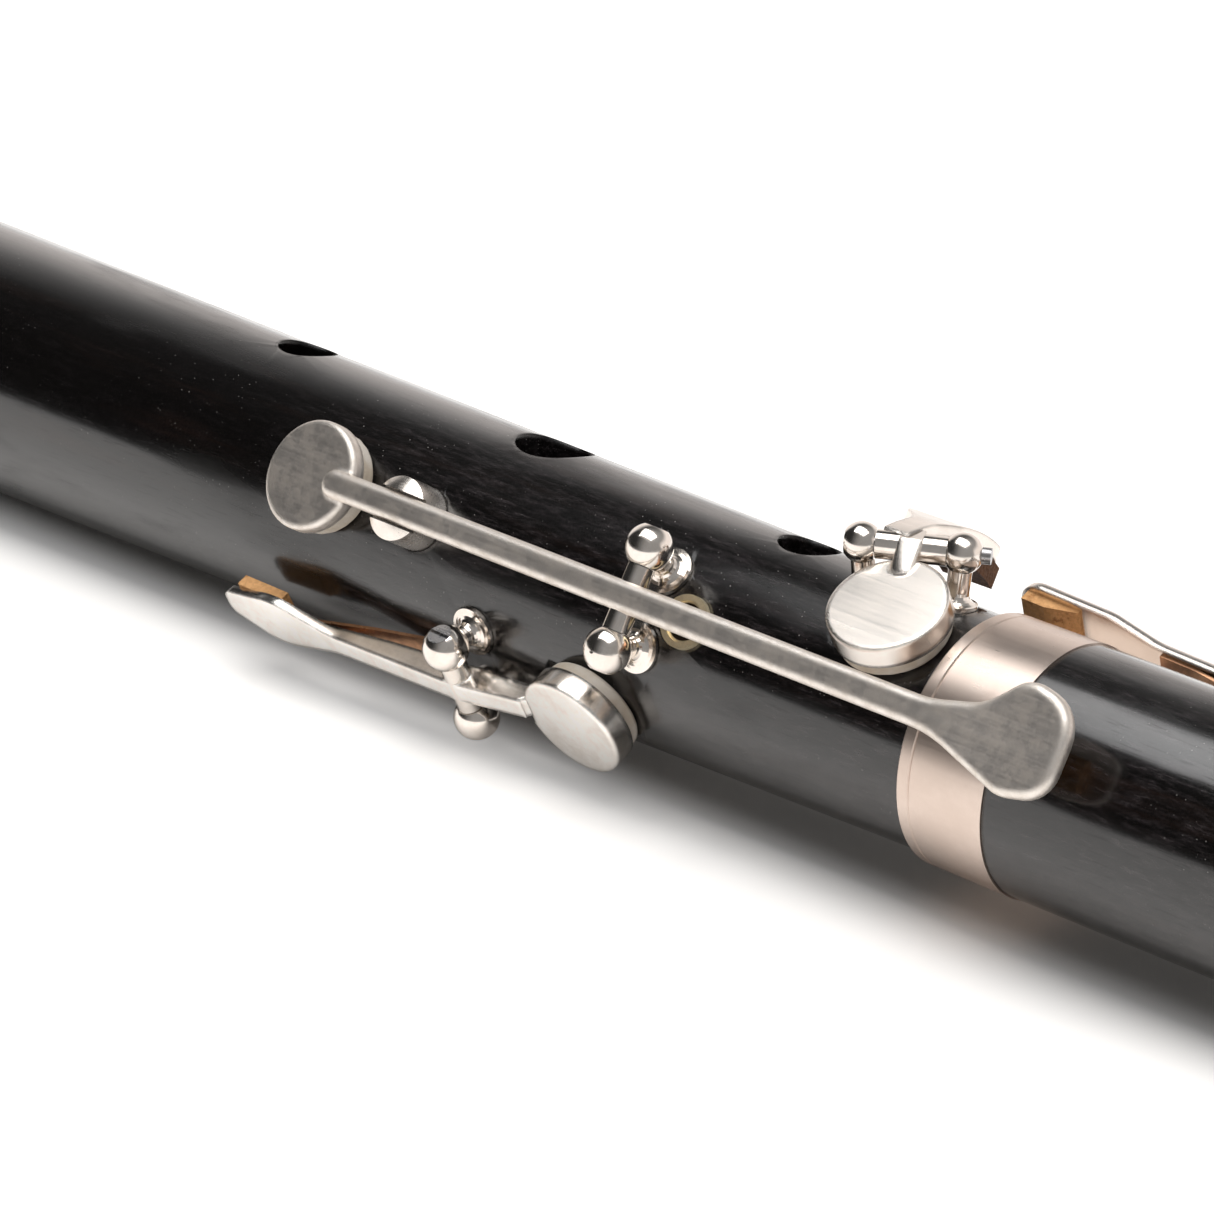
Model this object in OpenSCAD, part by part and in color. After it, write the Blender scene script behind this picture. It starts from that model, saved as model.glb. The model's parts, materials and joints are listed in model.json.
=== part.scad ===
// Keyed wooden flute of the simple system: conical bore, tuning slide and six sprung keys.
// Design axis: X runs along the tube from the crown to the foot, with x = 0 at the middle joint.
// Angles round the tube are counted from the finger holes, positive towards the player (-Y).

/* [Sections] */
// Length of the head from the crown to the barrel
head_len = 206; // [180:1:240]
// Length of the barrel that covers the tuning slide
barrel_len = 62; // [52:1:80]
// Length of the upper body between barrel and middle joint
upper_len = 158; // [140:1:170]
// Length of the lower body between middle joint and foot
lower_len = 118; // [114:1:130]
// Length of the foot joint
foot_len = 72; // [64:1:90]
// Turn of the finger holes from straight up, as the flute lies on its table
roll = -12; // [-30:1:30]
// Turn of the head, so that its mouth hole points straight up
head_turn = 12; // [-30:1:30]

/* [Radii] */
// Head radius at the crown end
head_r_crown = 13.6; // [13:0.1:15]
// Head radius at the barrel end
head_r_barrel = 15.2; // [14.4:0.1:15.6]
// Barrel radius
barrel_r = 15.7; // [15.2:0.1:17]
// Upper body radius at the barrel
upper_r_top = 15.2; // [14:0.1:15.4]
// Upper body radius at the middle joint
upper_r_bottom = 11.8; // [11.4:0.1:12.2]
// Lower body radius at the middle joint
lower_r_top = 12.5; // [12.2:0.1:13.5]
// Lower body radius at the foot
lower_r_bottom = 11.6; // [11.2:0.1:12.2]
// Foot radius at its socket
foot_r_top = 12.4; // [12.2:0.1:13.5]
// Foot radius at its open end
foot_r_bottom = 11.6; // [11:0.1:12.5]

/* [Bore] */
// Bore radius of the head and of the tuning slide
bore_head = 9.3; // [9:0.05:9.5]
// Bore radius at the top of the upper body
bore_upper = 9.2; // [8.8:0.05:9.4]
// Bore radius at the middle joint
bore_middle = 7.4; // [7:0.05:7.6]
// Bore radius at the end of the lower body
bore_lower = 5.7; // [5.4:0.05:6]
// Bore radius of the foot
bore_foot = 6; // [5.7:0.05:6.4]
// Wall of the metal slide tubes
lining_wall = 0.45; // [0.3:0.05:0.5]

/* [Tenons] */
// Length of the tenon in the barrel
barrel_tenon_len = 26; // [20:1:30]
// Length of the tenon in the middle joint
middle_tenon_len = 22; // [18:1:26]
// Length of the tenon in the foot
foot_tenon_len = 18; // [14:1:22]
// Wooden wall of a tenon
tenon_wall = 1.7; // [1.4:0.1:2]
// Thickness of the cork wrapped round a tenon
tenon_cork = 0.7; // [0.5:0.1:0.9]
// Width of the silver ring at the middle joint
ring_w = 9.8; // [7:0.1:12]
// Width of the other silver rings
small_ring_w = 5; // [3:0.5:8]
// Height of a ring above its wood
ring_proud = 0.06; // [0.02:0.01:0.3]
// Metal thickness of a ring
ring_wall = 0.8; // [0.6:0.1:1.2]

/* [Holes] */
// Distance from the crown's end to the mouth hole
mouth_from_end = 59; // [55:1:66]
// Mouth hole length along the tube
mouth_len = 12.2; // [11:0.1:13]
// Mouth hole width across the tube
mouth_w = 10.4; // [9.5:0.1:11.5]
// Places of the finger holes from the middle joint
finger_x = [-95, -57.8, -23.6, 30, 62, 100];
// Radii of the finger holes
finger_r = [3.3, 4.2, 3.2, 3.4, 4, 3];
// Radius of the tone hole under a key
tone_r = 3.2; // [2.6:0.1:3.8]

/* [Keys] */
// Radius of a key cup
cup_r = 5.9; // [5.6:0.1:6.3]
// Height of a key cup
cup_h = 2.5; // [2:0.1:3]
// Pad that shows below its cup
pad_show = 1.6; // [1.2:0.1:2]
// Depth of a pad's flat seat below the crest of the wood
seat_depth = 0.5; // [0.3:0.1:0.8]
// Wall of a key cup round its pad
cup_wall = 0.4; // [0.3:0.05:0.6]
// Width of a key lever
lever_w = 3; // [2.4:0.1:3.2]
// Thickness of a key lever
lever_t = 1.3; // [1:0.1:1.5]
// Rounding of a lever's upper edge
lever_edge = 0.8; // [0.4:0.1:0.9]
// Radius of a hinge barrel
hinge_r = 1.4; // [1.3:0.05:1.6]
// Radius of a pivot screw
screw_r = 0.8; // [0.6:0.05:0.9]
// Ball radius of a key post
ball_r = 2.4; // [2.2:0.1:2.6]
// Ball radius of the small posts of the cross keys
small_ball_r = 2; // [1.9:0.1:2.2]
// Thickness of a leaf spring
spring_t = 0.35; // [0.25:0.05:0.5]
// Width of a leaf spring
spring_w = 2; // [1.6:0.1:2.4]

/* [Hidden] */
$fn = 64;
ease = 0.05;           // running clearance of a fit that turns or slides
glue = 0.02;           // clearance of a fixed fit
cut = 1;               // how far a cutting tool runs past the face it opens
pad_gap = 0.05;        // pad above its seat when closed
joint_gap = 0.15;      // gap between the end faces of two sections

// Stations along the tube
upper_x = -upper_len;
barrel_x = upper_x - barrel_len;
head_x = barrel_x - head_len;
foot_x = lower_len;
end_x = foot_x + foot_len;
mouth_x = head_x + mouth_from_end;

// Tenons and sockets
barrel_tenon_r = bore_upper + tenon_wall;
barrel_socket_r = barrel_tenon_r + tenon_cork + ease;
middle_tenon_r = bore_middle + tenon_wall;
middle_socket_r = middle_tenon_r + tenon_cork + ease;
foot_tenon_extra = 0.6; // wood that the foot's tenon has over the others
foot_tenon_r = bore_lower + tenon_wall + foot_tenon_extra;
foot_socket_r = foot_tenon_r + tenon_cork + ease;
socket_spare = 0.6;    // room past the end of a tenon
cork_margin = 3;       // bare wood at both ends of a tenon

// Tuning slide
slide_len = 30;
slide_r = bore_head + lining_wall;
slide_socket_r = slide_r + ease;
slide_shoulder = 2;    // wood left between the slide's socket and the tenon's
slide_socket_len = barrel_len - barrel_tenon_len - socket_spare - slide_shoulder;
head_taper_len = 60;   // from the mouth hole to where the head is full size
crown_len = 13;
crown_flat = 0.45;     // share of the crown's radius that is flat
crown_dome = 4;
crown_spigot_len = 5;
crown_spigot_ease = 0.3;
stopper_len = 13;
stopper_back = 19;     // from the mouth hole's centre to the stopper's face
stopper_rod_r = 2;
stopper_web = 4;       // cork left in front of the rod's end
rod_inset = 0.5;
thread_ease = 0.08;

function mix(a, b, t) = a + (b - a) * t;
function upper_r(x) = mix(upper_r_bottom, upper_r_top, x / upper_x);
function lower_r(x) = mix(lower_r_top, lower_r_bottom, x / lower_len);
function foot_r(x) = mix(foot_r_top, foot_r_bottom, (x - foot_x) / foot_len);
function wood_r(x) = x < 0 ? upper_r(x) : x < foot_x ? lower_r(x) : foot_r(x);
function cup_top(x) = wood_r(x) - seat_depth + pad_gap + pad_show + cup_h;

// Key layouts: pivot place, angle and lever direction, ball distance, hinge height, ball radius
c_pivot = [-32.5, 70.3, 0, 5.3, 16.1, ball_r];
b_flat_pivot = [-54, 128.5, 0, 5.1, 16.3, ball_r];
g_sharp_pivot = [-9.1, 12.5, 118.8, 4.8, 16.9, small_ball_r];
long_f_pivot = [40, -55.5, 4, 5, 14.4, ball_r];
short_f_pivot = [83.5, 12, 61.2, 4.8, 16.6, small_ball_r];
e_flat_pivot = [foot_x + 19, -46, 0, 5, 14.8, ball_r];
c_cup = [-76.4, 70.3];
b_flat_cup = [-38.9, 128.5];
g_sharp_cup = [-6.6, 38];
long_f_cup = [78, -65.3];
short_f_cup = [81, 38];
e_flat_cup = [foot_x + 35, -46];

// Frames
module flute_frame() { translate([-end_x, 0, 0]) rotate([roll, 0, 0]) children(); }
module round_tube(x, angle) { translate([x, 0, 0]) rotate([angle, 0, 0]) children(); }
module pivot_frame(k) { round_tube(k[0], k[1]) rotate([0, 0, k[2]]) children(); }
module hinge_frame(k) { pivot_frame(k) translate([0, 0, k[4]]) children(); }
module along_x(outline) { rotate([0, 90, 0]) rotate_extrude($fn = 96) polygon(outline); }
module cross_pin(r, from, to) {
    translate([0, from, 0]) rotate([-90, 0, 0]) cylinder(r = r, h = to - from);
}
module side_profile(w, outline) {
    translate([0, w / 2, 0]) rotate([90, 0, 0]) linear_extrude(w) polygon(outline);
}

// Outline whose corners [x, y, radius] are rounded by tangent arcs
arc_steps = 6;
function unit(v) = v / norm(v);
function place(p) = [p.x, p.y];
function before(p, i) = place(p[(i + len(p) - 1) % len(p)]);
function after(p, i) = place(p[(i + 1) % len(p)]);
function corner_arc(a, b, c, r) =
    let (
        u = unit(a - b),
        w = unit(c - b),
        half = acos(u * w) / 2,
        mid = b + unit(u + w) * r / sin(half),
        from = b + u * r / tan(half) - mid,
        to = b + w * r / tan(half) - mid,
        start = atan2(from.y, from.x),
        turn = (atan2(to.y, to.x) - start + 540) % 360 - 180
    )
    [for (i = [0 : arc_steps])
        let (angle = start + turn * i / arc_steps)
        mid + r * [cos(angle), sin(angle)]];
function rounded(p) =
    [for (i = [0 : len(p) - 1])
        each (p[i].z > 0 ? corner_arc(before(p, i), place(p[i]), after(p, i), p[i].z) : [place(p[i])])];

// Plate of rounded outline, its upper edge rounded off in layers that shrink towards the top.
// The outline runs out along one side and back along the other, and the two flat faces are strips across it.
edge_steps = 4;
run_steps = 7;
function run(from, to, y) =
    [for (i = [1 : run_steps]) [mix(from, to, i / (run_steps + 1)), y, 0]];
function strip(i, n) =
    i + 1 == n - 2 - i ? [i, i + 1, n - 1 - i] : [i, i + 1, n - 2 - i, n - 1 - i];
function edge_normal(a, b) = let (d = unit(b - a)) [-d.y, d.x];
function inset(p, d) =
    [for (i = [0 : len(p) - 1])
        let (
            here = place(p[i]),
            n1 = edge_normal(before(p, i), here),
            n2 = edge_normal(here, after(p, i)),
            moved = here + d * (n1 + n2) / (1 + n1 * n2),
            bends_out = cross(here - before(p, i), after(p, i) - here) > 0
        )
        [moved.x, moved.y, p[i].z == 0 ? 0 : p[i].z + (bends_out ? -d : d)]];
module soft_plate(outline, t, edge) {
    layers = [
        [0, 0],
        for (i = [0 : edge_steps])
            let (a = 90 * i / edge_steps) [t - edge + edge * sin(a), edge * (1 - cos(a))]
    ];
    n = len(rounded(outline));
    last = len(layers) - 1;
    strips = floor((n - 1) / 2) - 1;
    polyhedron(
        points = [for (l = layers) for (p = rounded(inset(outline, l.y))) [p.x, p.y, l.x]],
        faces = [
            for (i = [0 : strips]) strip(i, n),
            for (l = [0 : last - 1])
                for (i = [0 : n - 1])
                    let (j = (i + 1) % n) [l * n + i, (l + 1) * n + i, (l + 1) * n + j, l * n + j],
            for (i = [0 : strips])
                let (s = strip(i, n)) [for (j = [len(s) - 1 : -1 : 0]) last * n + s[j]]
        ]
    );
}

// Post: flared foot, neck and ball, turned in one piece with its shank
post_foot_r = 2.6;
small_foot_r = 2.1;
post_foot_t = 0.7;
post_flare = 1.1;
post_neck_r = 1.15;
post_shank_r = 1.1;
post_shank_len = 2.6;
post_sink = 0.35;
spot_face_ease = 0.1;
module post_solid(z_wood, z_ball, r_ball, r_foot) {
    z_foot = z_wood - post_sink;
    z_flare = z_foot + post_foot_t;
    rotate_extrude()
        polygon([
            [0, z_foot - post_shank_len], [post_shank_r, z_foot - post_shank_len],
            [post_shank_r, z_foot], [r_foot, z_foot], [r_foot, z_flare],
            for (a = [75 : -15 : 0])
                [r_foot - (r_foot - post_neck_r) * cos(a), z_flare + post_flare * (1 - sin(a))],
            [post_neck_r, z_ball], [0, z_ball]
        ]);
    translate([0, 0, z_ball]) sphere(r = r_ball);
}
module post_socket(z_wood, r_foot) {
    z_foot = z_wood - post_sink;
    translate([0, 0, z_foot]) cylinder(r = r_foot + spot_face_ease, h = r_foot + cut);
    translate([0, 0, z_foot - post_shank_len - spot_face_ease])
        cylinder(r = post_shank_r + glue, h = post_shank_len + cut);
}
// The two posts of a key stand square to the wood under the ends of its hinge
function post_x(k, side) = k[0] - side * k[3] * sin(k[2]);
function post_angle(k, side) = k[1] - atan(side * k[3] * cos(k[2]) / k[4]);
function post_ball_z(k) = norm([k[3] * cos(k[2]), k[4]]);
function foot_radius(k) = k[5] < ball_r ? small_foot_r : post_foot_r;
hinge_side_ease = 0.1;
function ball_flat(k) = sqrt(pow(k[5], 2) - pow(hinge_r + hinge_side_ease, 2));
function hinge_half(k) = k[3] - ball_flat(k) - hinge_side_ease;
screw_head_r = 1.25;
screw_head_t = 0.8;
screw_slot_w = 0.4;
screw_slot_deep = 0.35;
function head_y(k) = k[3] + sqrt(pow(k[5], 2) - pow(screw_head_r, 2));
module key_posts(k) {
    difference() {
        for (side = [-1, 1])
            round_tube(post_x(k, side), post_angle(k, side))
                post_solid(wood_r(post_x(k, side)), post_ball_z(k), k[5], foot_radius(k));
        hinge_frame(k) {
            cross_pin(screw_r + glue, -k[3] - k[5] - cut, k[3] + k[5] + cut);
            cross_pin(hinge_r + hinge_side_ease, ball_flat(k) - k[3], k[3] - ball_flat(k));
            cross_pin(screw_head_r + glue, head_y(k) - screw_head_t, head_y(k) + cut);
        }
    }
}
module key_post_sockets(k) {
    for (side = [-1, 1])
        round_tube(post_x(k, side), post_angle(k, side))
            post_socket(wood_r(post_x(k, side)), foot_radius(k));
}
// Pivot screw: its end stands out of the far ball by nub, or lies inside it when nub is negative
module pivot_screw(k, nub) {
    hinge_frame(k) difference() {
        union() {
            cross_pin(screw_r, -k[3] - k[5] - nub, head_y(k) - screw_head_t / 2);
            cross_pin(screw_head_r, head_y(k) - screw_head_t + glue, head_y(k));
        }
        translate([-screw_head_r - cut, head_y(k) - screw_slot_deep, -screw_slot_w / 2])
            cube([2 * screw_head_r + 2 * cut, cut, screw_slot_w]);
    }
}
// Hinge barrel of a lever, and the hole through it
module hinge_barrel(k) { hinge_frame(k) cross_pin(hinge_r, -hinge_half(k), hinge_half(k)); }
module hinge_hole(k) { hinge_frame(k) cross_pin(screw_r + ease, -k[3], k[3]); }

// Key cup with a recess for its pad, the pad, and the flat seat and tone hole in the wood
cup_edge = 0.25;
c_cup_h = 1.7;         // the C key's cup is shallower than the others, over a thicker pad
c_cup_edge = 0.5;
pad_recess = 1.2;
pad_round = 0.5;
pad_r = cup_r - cup_wall - glue;
seat_margin = 0.8;
function cup_rim_z(c) = cup_top(c.x) - (c == c_cup ? c_cup_h : cup_h);
function pad_back_z(c) = cup_rim_z(c) + pad_recess;
module key_cup(c) {
    top = cup_top(c.x);
    edge = c == c_cup ? c_cup_edge : cup_edge;
    round_tube(c.x, c.y) rotate_extrude()
        polygon([
            [0, top],
            for (a = [90 : -22.5 : 0]) [cup_r - edge + edge * cos(a), top - edge + edge * sin(a)],
            [cup_r, cup_rim_z(c)], [cup_r - cup_wall, cup_rim_z(c)],
            [cup_r - cup_wall, pad_back_z(c)], [0, pad_back_z(c)]
        ]);
}
module key_pad(c) {
    base = wood_r(c.x) - seat_depth + pad_gap;
    round_tube(c.x, c.y) rotate_extrude()
        polygon([
            [0, base],
            for (a = [-90 : 15 : 0])
                [pad_r - pad_round + pad_round * cos(a), base + pad_round + pad_round * sin(a)],
            [pad_r, pad_back_z(c)], [0, pad_back_z(c)]
        ]);
}
module key_seat(c) {
    seat = wood_r(c.x) - seat_depth;
    round_tube(c.x, c.y) {
        translate([0, 0, seat]) cylinder(r = pad_r + seat_margin, h = cup_h + pad_show);
        cylinder(r = tone_r, h = seat + cut);
    }
}

// Leaf spring below a lever: a ribbon through points [x, z] in the plane of the lever
spring_lift = 0.15;
function ribbon_normal(p, i) =
    let (d = unit(p[min(i + 1, len(p) - 1)] - p[max(i - 1, 0)])) [-d.y, d.x];
function ribbon(p, t) =
    concat(p, [for (i = [len(p) - 1 : -1 : 0]) p[i] + t * ribbon_normal(p, i)]);
module leaf_spring(k, points, side) {
    pivot_frame(k) side_profile(spring_w, ribbon(points, side * spring_t));
}
// A spring held under the touch between way[0] and way[1], which bends down to the wood at way[2],
// all counted from the pivot along the lever
spring_bow = 0.55;     // share of the drop that the spring has made half way along
module touch_spring(k, way, z_held) {
    z_free = wood_r(k[0] + way[2]) + spring_lift + spring_t;
    leaf_spring(k, [
        [way[0], z_held], [way[1], z_held],
        [mix(way[1], way[2], 0.5), mix(z_held, z_free, spring_bow)], [way[2], z_free]
    ], way[2] < way[1] ? 1 : -1);
}
// Block of cork glued under a touch whose lower face is at z, from span[0] to span[1] along the lever
module touch_cork(k, span, w, t, z) {
    pivot_frame(k) translate([span[0], -w / 2, z - t]) cube([span[1] - span[0], w, t]);
}

// C key: long straight lever from its cup, through a slotted guide, to a spatula by the middle joint
c_top = 18.05;
c_under = c_top - lever_t;
c_tongue = -41.3;
c_guide_x = -63.6;
c_guide_r = 3.4;
c_guide_top = 18;
c_guide_dome_r = 6;
c_guide_sink = 0.25;   // how much deeper than a post the guide is let into the wood
c_guide_ease = 0.3;
c_seat_x = -27.8;
c_seat_r = 2.7;
c_seat_rim = 0.6;
c_seat_sink = 0.5;
c_seat_h = 0.9;
c_seat_deep = 0.3;
c_cork_t = 1.1;
c_cork_w = 5;
c_cork_span = [43.5, 49.5];
c_spring_way = [30, 26, c_seat_x - c_pivot[0]];
c_neck = 35;
lever_end = 1.45;      // corner radius at the end of a lever
c_plan = [
    [c_tongue, -lever_w / 2, lever_end], each run(c_tongue + lever_w, c_neck, -lever_w / 2),
    [38, -lever_w / 2, 14], [47.1, -4.5, 3.6], [52.1, -3.4, 3.2], [52.1, 5.2, 4.2], [46.2, 6.5, 3],
    [42.6, 2.9, 5], [37, lever_w / 2, 12],
    each run(c_neck, c_tongue + lever_w, lever_w / 2), [c_tongue, lever_w / 2, lever_end]
];
module c_key_lever() {
    color("silver") flute_frame() difference() {
        union() {
            key_cup(c_cup);
            hinge_barrel(c_pivot);
            pivot_frame(c_pivot) translate([0, 0, c_under]) soft_plate(c_plan, lever_t, lever_edge);
        }
        hinge_hole(c_pivot);
    }
}
module c_key_guide() {
    slot_w = lever_w + 2 * c_guide_ease;
    base = wood_r(c_guide_x) - c_guide_sink - post_sink;
    color("silver") flute_frame() round_tube(c_guide_x, c_cup.y) difference() {
        union() {
            translate([0, 0, base - post_shank_len]) cylinder(r = post_shank_r, h = post_shank_len + cut);
            intersection() {
                translate([0, 0, base]) cylinder(r = c_guide_r, h = c_guide_top - base);
                translate([0, 0, c_guide_top - c_guide_dome_r]) sphere(r = c_guide_dome_r);
            }
        }
        translate([-c_guide_r - cut, -slot_w / 2, c_under - c_guide_ease])
            cube([2 * c_guide_r + 2 * cut, slot_w, 2 * c_guide_r]);
    }
}
module c_spring_seat() {
    base = wood_r(c_seat_x) - c_seat_sink;
    color("goldenrod") flute_frame() round_tube(c_seat_x, c_cup.y) difference() {
        translate([0, 0, base]) cylinder(r = c_seat_r, h = c_seat_h);
        translate([0, 0, base + c_seat_h - c_seat_deep]) cylinder(r = c_seat_r - c_seat_rim, h = cut);
    }
}
module c_key_spring() { color("peru") flute_frame() touch_spring(c_pivot, c_spring_way, c_under); }
module c_key_cork() {
    color("sandybrown") flute_frame() touch_cork(c_pivot, c_cork_span, c_cork_w, c_cork_t, c_under);
}

// B flat key: leaf-shaped thumb touch on a deep bar that runs into the side of its cup
b_flat_top = 17.7;
b_flat_tip = -33.3;
b_flat_bar_w = 2.4;
b_flat_bar_deep = 3;
b_flat_leaf_half = 3.3;
b_flat_leaf_tip = 1.4;
b_flat_leaf_t = 1.1;
b_flat_notch = 0.8;
b_flat_spring_way = [-22.5, -20.5, -6];
b_flat_cork_w = 4.6;
b_flat_cork_t = 1.4;
b_flat_cork_drop = 0.5;
b_flat_cork_span = [-31.5, -25];
seat_bar = 0.2;        // the bar's lower edge above the cup's
// Leaf from neck to tip: its half width seen from above, and its rise above the bar
b_flat_neck_x = -12;
b_flat_waist_x = -17;
b_flat_belly_x = -25.5;
b_flat_leaf_side = [
    [b_flat_neck_x, b_flat_bar_w / 2, 0], [b_flat_waist_x, b_flat_bar_w / 2, 8],
    [b_flat_belly_x, b_flat_leaf_half, 8], [b_flat_tip, b_flat_leaf_tip, 1.3]
];
b_flat_leaf_plan = concat(
    b_flat_leaf_side,
    [for (i = [3 : -1 : 0]) let (p = b_flat_leaf_side[i]) [p.x, -p.y, p.z]]
);
b_flat_leaf_rise = [[b_flat_neck_x, 0.3], [-20, 0.5], [-28, 0.7], [b_flat_tip - cut, 0.4]];
b_flat_bar_under = [[-20, 0.7], [-10, 2], [0, b_flat_bar_deep]];
function b_flat_leaf_top(x) = b_flat_top + lookup(x, b_flat_leaf_rise);
function b_flat_leaf_under(x) = b_flat_leaf_top(x) - b_flat_leaf_t;
module b_flat_key_lever() {
    top = cup_top(b_flat_cup.x);
    reach = b_flat_cup.x - b_flat_pivot[0] - cup_r;
    bar_end = b_flat_bar_under[0].x;
    color("silver") flute_frame() difference() {
        union() {
            key_cup(b_flat_cup);
            hinge_barrel(b_flat_pivot);
            pivot_frame(b_flat_pivot) {
                side_profile(b_flat_bar_w, [
                    [reach + cup_wall, top], [0, b_flat_top],
                    for (x = [b_flat_neck_x, bar_end]) [x, b_flat_leaf_top(x)],
                    for (p = b_flat_bar_under) [p.x, b_flat_top - p.y],
                    [reach + cup_wall, top - cup_h + seat_bar]
                ]);
                intersection() {
                    linear_extrude(b_flat_top + cup_h) polygon(rounded(b_flat_leaf_plan));
                    side_profile(2 * b_flat_leaf_half + cut, [
                        for (p = b_flat_leaf_rise) [p.x, b_flat_leaf_top(p.x)],
                        for (i = [3 : -1 : 0]) let (x = b_flat_leaf_rise[i].x) [x, b_flat_leaf_under(x)]
                    ]);
                }
            }
        }
        hinge_hole(b_flat_pivot);
        pivot_frame(b_flat_pivot) translate([reach, 0, top]) rotate([0, 45, 0])
            cube([b_flat_notch, b_flat_bar_w + cut, b_flat_notch], center = true);
    }
}
module b_flat_key_spring() {
    color("peru") flute_frame()
        touch_spring(b_flat_pivot, b_flat_spring_way, b_flat_top - b_flat_bar_under[0].y);
}
module b_flat_key_cork() {
    span = b_flat_cork_span;
    crest = b_flat_leaf_rise[2].x;
    color("sandybrown") flute_frame() pivot_frame(b_flat_pivot)
        side_profile(b_flat_cork_w, [
            for (x = [span[0], crest, span[1]]) [x, b_flat_leaf_under(x) - glue],
            for (x = [span[1], span[0]]) [x, b_flat_top - b_flat_cork_t - b_flat_cork_drop]
        ]);
}

// Cross keys: a touch plate bent round the tube, and an arm over the hinge to a cup on the player's side
plate_r = 18.5;
plate_half = 3.5;
plate_front = -3;
plate_back = 6.5;
plate_round = 3.3;
plate_corner = 2;
plate_waist = -6;
waist_round = 3;
neck_half = 1.4;
neck_shift = 1.1;
neck_from = -10;
arm_half = 1.1;
arm_sink = 0.3;
arm_rise = 0.2;
cross_cork_t = 2;
cross_cork_from = 2;
cross_cork_w = 4;
cross_cork_inset = 0.5;
cross_nub = 0.7;
hidden_nub = -0.3;
// The touch of a cross key: x and angle of its middle
g_sharp_touch = [-11.6, -18];
short_f_touch = [86, -18];
module shell(r, t, half_len) {
    rotate([0, 90, 0]) difference() {
        cylinder(r = r, h = 2 * half_len, center = true, $fn = 96);
        cylinder(r = r - t, h = 2 * half_len + cut, center = true, $fn = 96);
    }
}
function arm_way(k, c) = unit([k[0] - c.x, k[4] * sin(c.y - k[1])]);
module cross_lever(k, c, touch) {
    neck = sign(k[0] - touch.x) * neck_shift;
    rim = (cup_r - arm_half) * arm_way(k, c);
    difference() {
        union() {
            key_cup(c);
            hinge_barrel(k);
            round_tube(touch.x, touch.y) intersection() {
                shell(plate_r, lever_t, 3 * plate_half);
                linear_extrude(plate_r + cut) polygon(rounded([
                    [neck - neck_half, neck_from, 0], [neck + neck_half, neck_from, 0],
                    [neck + neck_half, plate_waist, waist_round], [plate_half, plate_front, plate_corner],
                    [plate_half, plate_back, plate_round], [-plate_half, plate_back, plate_round],
                    [-plate_half, plate_front, plate_corner], [neck - neck_half, plate_waist, waist_round]
                ]));
            }
            hull() {
                hinge_frame(k) translate([-arm_half, -arm_half, hinge_r - lever_t])
                    cube([2 * arm_half, 2 * arm_half, lever_t]);
                round_tube(c.x, c.y) translate([rim.x, rim.y, cup_top(c.x) - arm_sink])
                    cylinder(r = arm_half, h = arm_sink + arm_rise, $fn = 32);
            }
        }
        hinge_hole(k);
    }
}
module cross_cork(touch) {
    round_tube(touch.x, touch.y) intersection() {
        shell(plate_r - lever_t, cross_cork_t, plate_half - cross_cork_inset);
        translate([-plate_half, cross_cork_from, 0]) cube([2 * plate_half, cross_cork_w, plate_r]);
    }
}
// Spring of a cross key: it lies under the touch, and then bends down to the wood on the far side
spring_held = [5, 1, -3];
spring_bend = -11;
spring_free = -19;
function ray(r, angle) = r * [sin(angle), cos(angle)];
module cross_spring(touch) {
    r_top = plate_r - lever_t;
    r_wood = wood_r(touch.x) + spring_lift;
    round_tube(touch.x, touch.y) rotate([90, 0, 90]) translate([0, 0, -spring_w / 2])
        linear_extrude(spring_w) polygon(ribbon([
            for (a = spring_held) ray(r_top, a),
            ray(mix(r_top, r_wood, 0.5), spring_bend), ray(r_wood + spring_t, spring_free)
        ], spring_t));
}
module g_sharp_key_lever() {
    color("silver") flute_frame() cross_lever(g_sharp_pivot, g_sharp_cup, g_sharp_touch);
}
module g_sharp_key_cork() { color("saddlebrown") flute_frame() cross_cork(g_sharp_touch); }
module g_sharp_key_spring() { color("peru") flute_frame() cross_spring(g_sharp_touch); }
module short_f_key_lever() {
    color("silver") flute_frame() cross_lever(short_f_pivot, short_f_cup, short_f_touch);
}
module short_f_key_cork() { color("saddlebrown") flute_frame() cross_cork(short_f_touch); }
module short_f_key_spring() { color("peru") flute_frame() cross_spring(short_f_touch); }

// Side keys: a lever from a rounded touch, over its hinge, to the top of its cup
side_touch = 10.5;     // length of the touch
side_taper = 15.5;     // where the touch has narrowed to the lever
side_straight = 18;    // where the straight lever starts
touch_end = 0.6;       // flat left at the end of the touch
function side_half(tip, half, reach, side) = [
    [tip, side * half, half - touch_end], [tip + side_touch, side * half, 4],
    [tip + side_taper, side * lever_w / 2, 6],
    each run(tip + side_straight, reach - lever_w, side * lever_w / 2),
    [reach, side * lever_w / 2, lever_end]
];
function side_plan(tip, half, reach) =
    let (back = side_half(tip, half, reach, 1))
    concat(side_half(tip, half, reach, -1), [for (i = [len(back) - 1 : -1 : 0]) back[i]]);
module side_lever(k, c, tip, half, under) {
    reach = (c.x - k[0]) / cos(k[2]) + lever_w / 2;
    difference() {
        union() {
            key_cup(c);
            hinge_barrel(k);
            pivot_frame(k) translate([0, 0, under])
                soft_plate(side_plan(tip, half, reach), lever_t, lever_edge);
        }
        hinge_hole(k);
    }
}
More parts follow.
